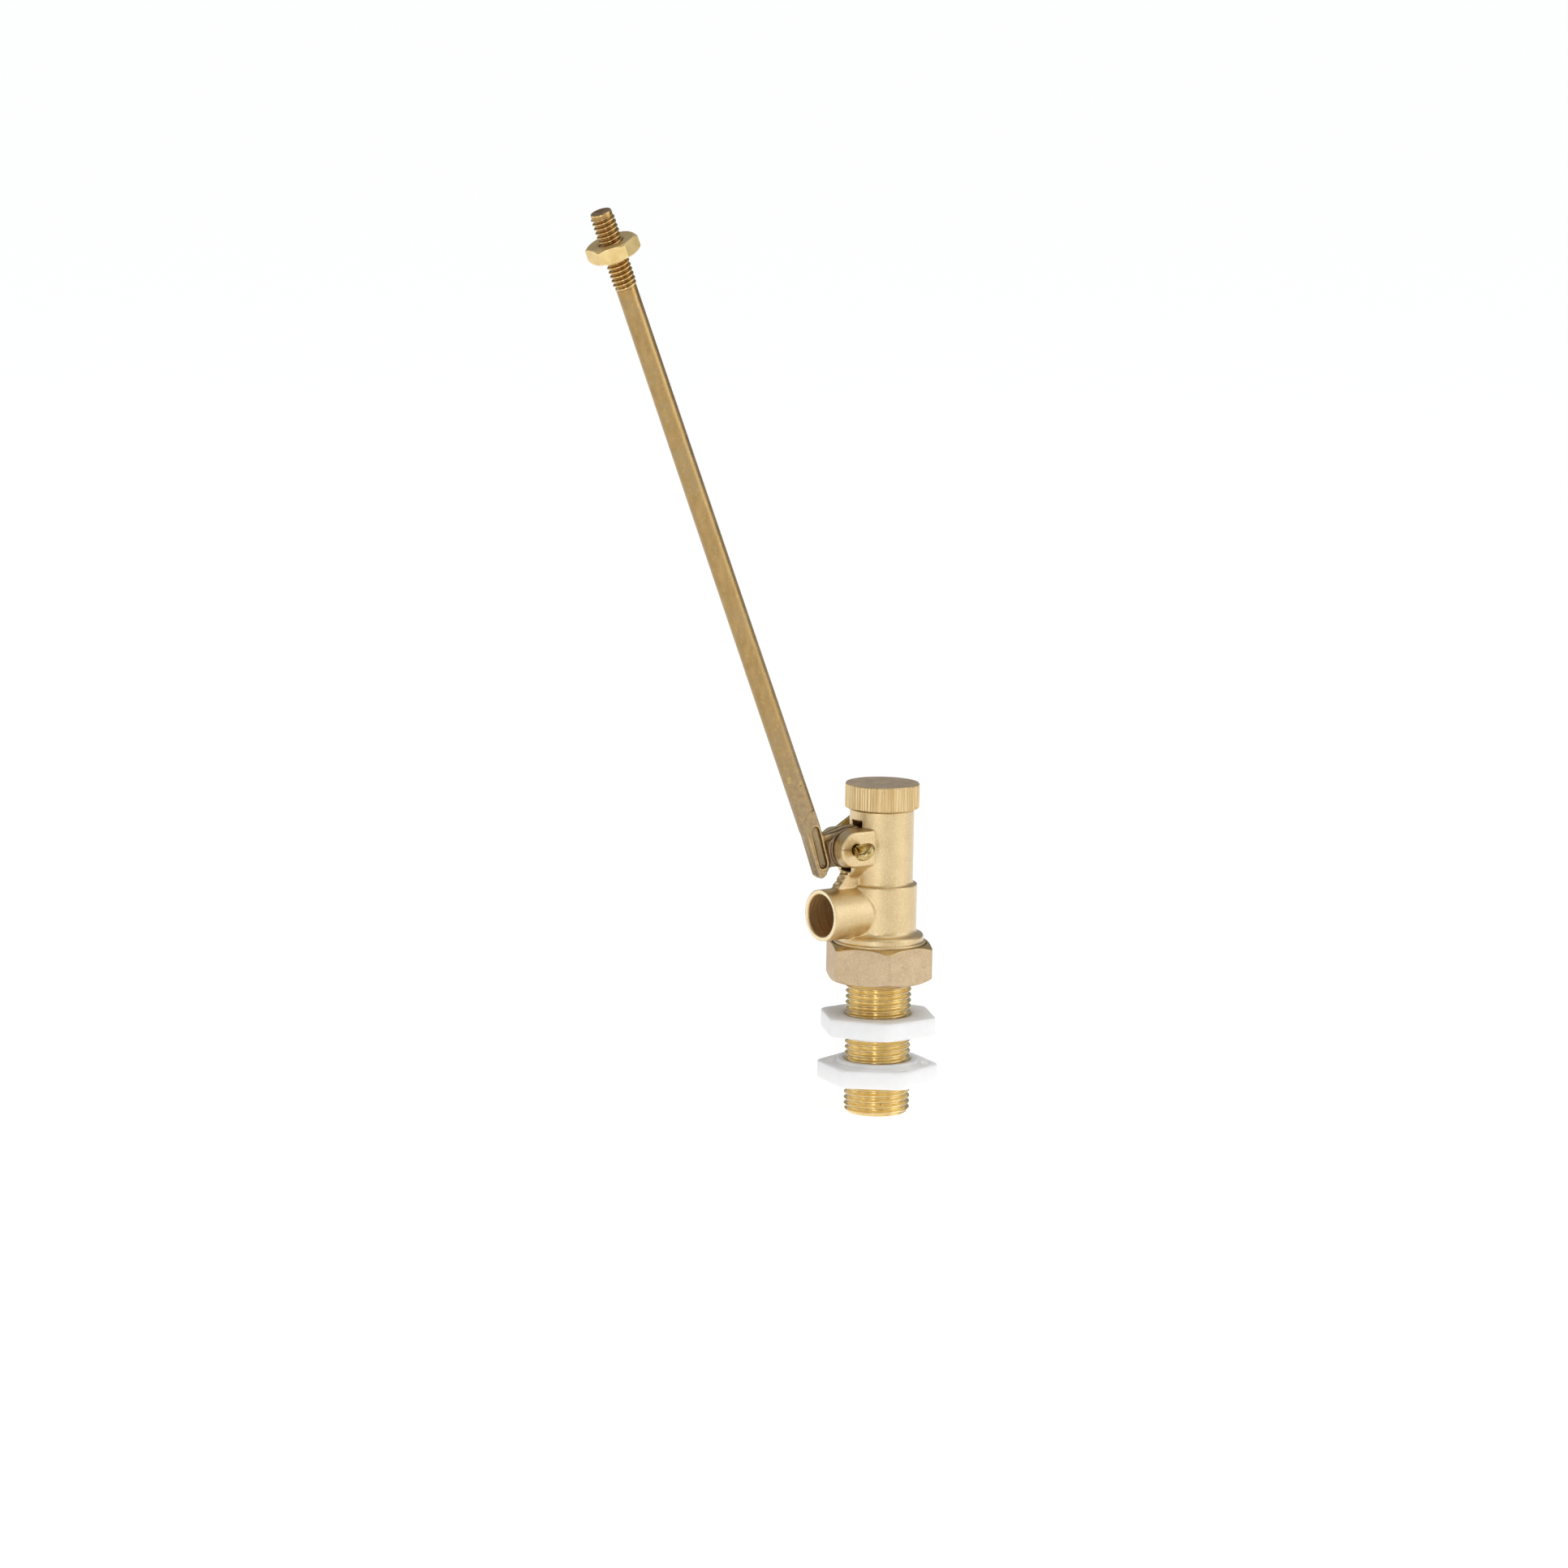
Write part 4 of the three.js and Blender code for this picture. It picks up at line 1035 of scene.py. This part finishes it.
def lever_brass():
    """Forged satin tan rod, oxidised grey and green towards the foot, bright on rubbed edges; painted shade by
    the lugs and in the pocket, painted crest highlights and root shade on the thread.
    """
    n = Nodes("lever_brass")
    n.set(metallic=1.0)
    x, y, z = n.along()
    foot = n.ramp(z, (PIVOT[2] + 12) * MM, (PIVOT[2] + 46) * MM, 1.0, 0.0)
    long_grain = n.noise(2.5, 4, 0.65, n.stretched((1.0, 1.0, 0.35)))
    cloudy = n.noise(6.0, 4, 0.6)
    grain = n.noise(0.3, 3, 0.6)
    tan = n.mix(n.ramp(long_grain, 0.35, 0.65), (0.36, 0.235, 0.095), (0.45, 0.30, 0.125))
    tan = n.mix(n.ramp(cloudy, 0.52, 0.72), tan, (0.38, 0.27, 0.13))
    tarnish = n.mix(n.ramp(n.noise(1.6, 5, 0.7), 0.38, 0.62), (0.31, 0.225, 0.135), (0.42, 0.31, 0.175))
    spread = n.times(foot, n.ramp(n.noise(3.0, 4, 0.65), 0.3, 0.55, 0.6, 1.0))
    tone = n.mix(spread, tan, tarnish)
    gold = n.ramp(n.noise(1.3, 4, 0.75), 0.58, 0.68, 0.0, 0.6)
    tone = n.mix(gold, tone, (0.60, 0.40, 0.15))
    green = n.ramp(n.noise(3.4, 2, 0.6), 0.62, 0.70, 0.0, 0.3)
    tone = n.mix(green, tone, (0.33, 0.34, 0.18))
    # Painted shade on the web and eye beside the head, where the lugs shadow them.
    shade_by_lugs = n.ramp(x, (PIVOT[0] - 8.5) * MM, (PIVOT[0] - 6.0) * MM, 0.0, 0.75)
    tone = n.mix(n.times(shade_by_lugs, foot), tone, (0.17, 0.12, 0.08))
    # Painted shade in the head's pocket, darker towards its bottom.
    inside = n.ramp(n.math("ABSOLUTE", y, 0.0), 1.25 * MM, 1.95 * MM, 1.0, 0.0)
    inside = n.times(inside, n.less(x, (PIVOT[0] - 7.7) * MM))
    inside = n.times(inside, n.ramp(z, (PIVOT[2] - 5) * MM, (PIVOT[2] + 5) * MM, 0.85, 0.05))
    tone = n.mix(inside, tone, (0.20, 0.15, 0.085))
    edge = n.times(n.edges(0.6), n.ramp(cloudy, 0.42, 0.60, 0.2, 0.9))
    edge = n.times(edge, n.minus(1.0, shade_by_lugs))
    tone = n.mix(edge, tone, (0.72, 0.50, 0.19))
    middle = n.less(n.math("ABSOLUTE", y, 0.0), 0.6 * MM)
    ground = n.times(n.times(middle, shade_by_lugs), n.ramp(n.facing_up(), 0.15, 0.35))
    tone = n.mix(ground, tone, (1.0, 0.74, 0.32))
    # On the thread: a more golden tone, with painted highlights on the crests and painted shade in the roots.
    threaded = n.ramp(z, (PIVOT[2] + 176) * MM, (PIVOT[2] + 180) * MM)
    plain = n.minus(1.0, threaded)
    crest = n.mix(n.edges(0.3), (0.36, 0.21, 0.07), (0.76, 0.54, 0.23))
    tone = n.mix(threaded, tone, crest)
    shine = n.plus(n.times(edge, 0.08), n.times(inside, 0.16))
    drawn = n.ramp(z, (PIVOT[2] + 10) * MM, (PIVOT[2] + 60) * MM, 0.0, 0.11)
    shine = n.plus(shine, n.minus(drawn, n.times(ground, 0.15)))
    rough = n.minus(n.ramp(long_grain, 0.3, 0.7, 0.32, 0.44), shine)
    coarse = n.bump(n.times(long_grain, plain), 0.3, 0.14)
    return n.finish(tone, rough, n.bump(n.times(grain, plain), 0.4, 0.06, coarse))


def pin_brass():
    n = Nodes("pin_brass")
    n.set(metallic=1.0)
    drawn = n.noise(0.6, 3, 0.6)
    tone = n.mix(n.ramp(drawn, 0.35, 0.65), (0.50, 0.37, 0.14), (0.62, 0.47, 0.20))
    dull = n.ramp(n.noise(1.6, 3, 0.6), 0.58, 0.66)
    tone = n.mix(n.times(dull, 0.6), tone, (0.40, 0.25, 0.09))
    rough = n.ramp(drawn, 0.3, 0.7, 0.22, 0.36)
    return n.finish(tone, rough, n.bump(drawn, 0.3, 0.06))


def piston_brass():
    n = Nodes("piston_brass")
    n.set(metallic=0.55)
    cloudy = n.noise(1.8, 4, 0.6)
    tone = n.mix(n.ramp(cloudy, 0.35, 0.65), (0.62, 0.19, 0.09), (0.80, 0.34, 0.16))
    rough = n.ramp(cloudy, 0.3, 0.7, 0.35, 0.55)
    return n.finish(tone, rough, n.bump(n.noise(0.3, 2, 0.6), 0.3, 0.05))


def nylon():
    n = Nodes("nylon")
    n.set(subsurface_weight=0.8, subsurface_scale=0.006, subsurface_radius=(1.0, 0.95, 0.9),
          specular_ior_level=0.4)
    flow = n.noise(5.0, 3, 0.5)
    grain = n.noise(0.35, 3, 0.6)
    tone = n.mix(n.ramp(flow, 0.35, 0.65), (0.90, 0.90, 0.90), (0.94, 0.94, 0.938))
    rough = n.plus(n.ramp(flow, 0.3, 0.7, 0.30, 0.42), n.ramp(grain, 0.3, 0.7, -0.03, 0.03))
    coarse = n.bump(flow, 0.3, 0.25)
    return n.finish(tone, rough, n.bump(grain, 0.2, 0.03, coarse))


def rubber():
    n = Nodes("rubber")
    grain = n.noise(0.4, 3, 0.6)
    tone = n.mix(n.ramp(grain, 0.35, 0.65), (0.02, 0.02, 0.02), (0.05, 0.048, 0.045))
    return n.finish(tone, n.ramp(grain, 0.3, 0.7, 0.6, 0.8), n.bump(grain, 0.4, 0.06))


def fibre():
    n = Nodes("fibre")
    strands = n.noise(0.7, 4, 0.7)
    tone = n.mix(n.ramp(strands, 0.35, 0.65), (0.24, 0.04, 0.025), (0.42, 0.10, 0.06))
    return n.finish(tone, n.ramp(strands, 0.3, 0.7, 0.7, 0.9), n.bump(strands, 0.5, 0.08))


# -------- camera, floor and light
CAMERA_PLACE = Vector((-1.20773, -1.58529, 0.43692))
CAMERA_LENS = 146.9  # mm on a 36 mm sensor
CAMERA_YAW, CAMERA_PITCH, CAMERA_ROLL = (radians(a) for a in (36.407, 9.462, 0.993))
FLOOR_HALF = 40000.0  # mm
LIGHT_AIM = Vector((0, 0, 0.11))
SOFT_BOXES = (  # name, azimuth and elevation in degrees, distance, size, power
    ("key", 75, 17, 1.5, (1.05, 1.0), 4.9),
    ("strip", -12, 6, 1.6, (0.16, 1.0), 4.3),
    ("left", -54, 12, 1.5, (0.4, 0.35), 1.3),
    ("fill", -100, 8, 1.5, (0.9, 1.0), 2.2),
)


def make_camera():
    data = bpy.data.cameras.new("camera")
    data.sensor_width = 36
    data.lens = CAMERA_LENS
    data.clip_end = 100
    camera = bpy.data.objects.new("camera", data)
    bpy.context.scene.collection.objects.link(camera)
    level = Matrix.Rotation(-CAMERA_YAW, 4, "Z") @ Matrix.Rotation(pi / 2 - CAMERA_PITCH, 4, "X")
    camera.matrix_world = Matrix.Translation(CAMERA_PLACE) @ level @ Matrix.Rotation(CAMERA_ROLL, 4, "Z")
    bpy.context.scene.camera = camera


def make_floor():
    a = FLOOR_HALF
    floor = mesh_object("floor", [(-a, -a, 0), (a, -a, 0), (a, a, 0), (-a, a, 0)], [(0, 1, 2, 3)], smooth=False)
    n = Nodes("floor_paper")
    grain = n.noise(3.0, 3, 0.6)
    tone = n.mix(grain, (0.69, 0.69, 0.69), (0.72, 0.72, 0.72))
    n.set(emission_color=(1, 1, 1, 1), emission_strength=0.65)
    floor.data.materials.append(n.finish(tone, n.ramp(grain, 0, 1, 0.85, 0.95)))


def area_light(name, azimuth, elevation, distance, size, power):
    """Soft box aimed at the valve. Azimuth 0 is the camera's side, positive to its right."""
    data = bpy.data.lights.new(name, "AREA")
    data.shape = "RECTANGLE"
    data.size, data.size_y = size
    data.energy = power
    light = bpy.data.objects.new(name, data)
    bpy.context.scene.collection.objects.link(light)
    a = -CAMERA_YAW - pi / 2 + radians(azimuth)
    e = radians(elevation)
    toward = Vector((cos(a) * cos(e), sin(a) * cos(e), sin(e)))
    light.location = LIGHT_AIM + distance * toward
    light.rotation_euler = (LIGHT_AIM - light.location).to_track_quat("-Z", "Y").to_euler()


def make_light():
    world = bpy.data.worlds.new("studio")
    world.use_nodes = True
    background = world.node_tree.nodes["Background"]
    background.inputs["Color"].default_value = (0.97, 0.98, 1.0, 1)
    background.inputs["Strength"].default_value = 0.32
    bpy.context.scene.world = world
    sun = bpy.data.lights.new("sun", "SUN")
    sun.energy = 0.6
    sun.angle = radians(60)
    lamp = bpy.data.objects.new("sun", sun)
    lamp.rotation_euler = (radians(28), 0, radians(20))
    bpy.context.scene.collection.objects.link(lamp)
    for box in SOFT_BOXES:
        area_light(*box)
    bpy.context.scene.view_settings.view_transform = "Standard"


# -------- assembly
def dress(piece, material, body, node):
    """Gives a piece its finish in a material slot, puts it in its body and hides the CAD node it replaces."""
    piece.data.materials.clear()
    piece.data.materials.append(material)
    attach(piece, body)
    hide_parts(node)


make_camera()
make_floor()
make_light()

CAST, BLASTED, TURNED = cast_brass(), blasted_brass(), turned_brass()
PISTON, NYLON = piston_brass(), nylon()
NUT_TURNS = Dims(upper_backnut=3.1, lower_backnut=18.9)

dress(make_body(), CAST, "valve_body", "body")
dress(make_cap(), cap_brass(), "valve_body", "end_cap")
dress(make_tail(), TURNED, "valve_body", "inlet_tail")
dress(make_union_nut(), BLASTED, "valve_body", "union_nut")
dress(make_washer(), fibre(), "valve_body", "union_washer")
dress(make_seat(), NYLON, "valve_body", "seat_nozzle")
dress(make_pin(), pin_brass(), "valve_body", "split_pin")
dress(make_piston(), PISTON, "piston", "piston_body")
dress(make_piston_cap(), PISTON, "piston", "piston_cap")
dress(make_piston_washer(), rubber(), "piston", "piston_washer")
upper = make_backnut("upper_backnut", "backnut_upper_moulded", NUT_TURNS.upper_backnut, False)
lower = make_backnut("lower_backnut", "backnut_lower_moulded", NUT_TURNS.lower_backnut, True)
dress(upper, NYLON, "backnut_above", "upper_backnut")
dress(lower, NYLON, "backnut_below", "lower_backnut")
dress(make_lever(), lever_brass(), "lever_arm", "lever")
dress(make_locknut(), machined_brass(), "locknut", "float_locknut")
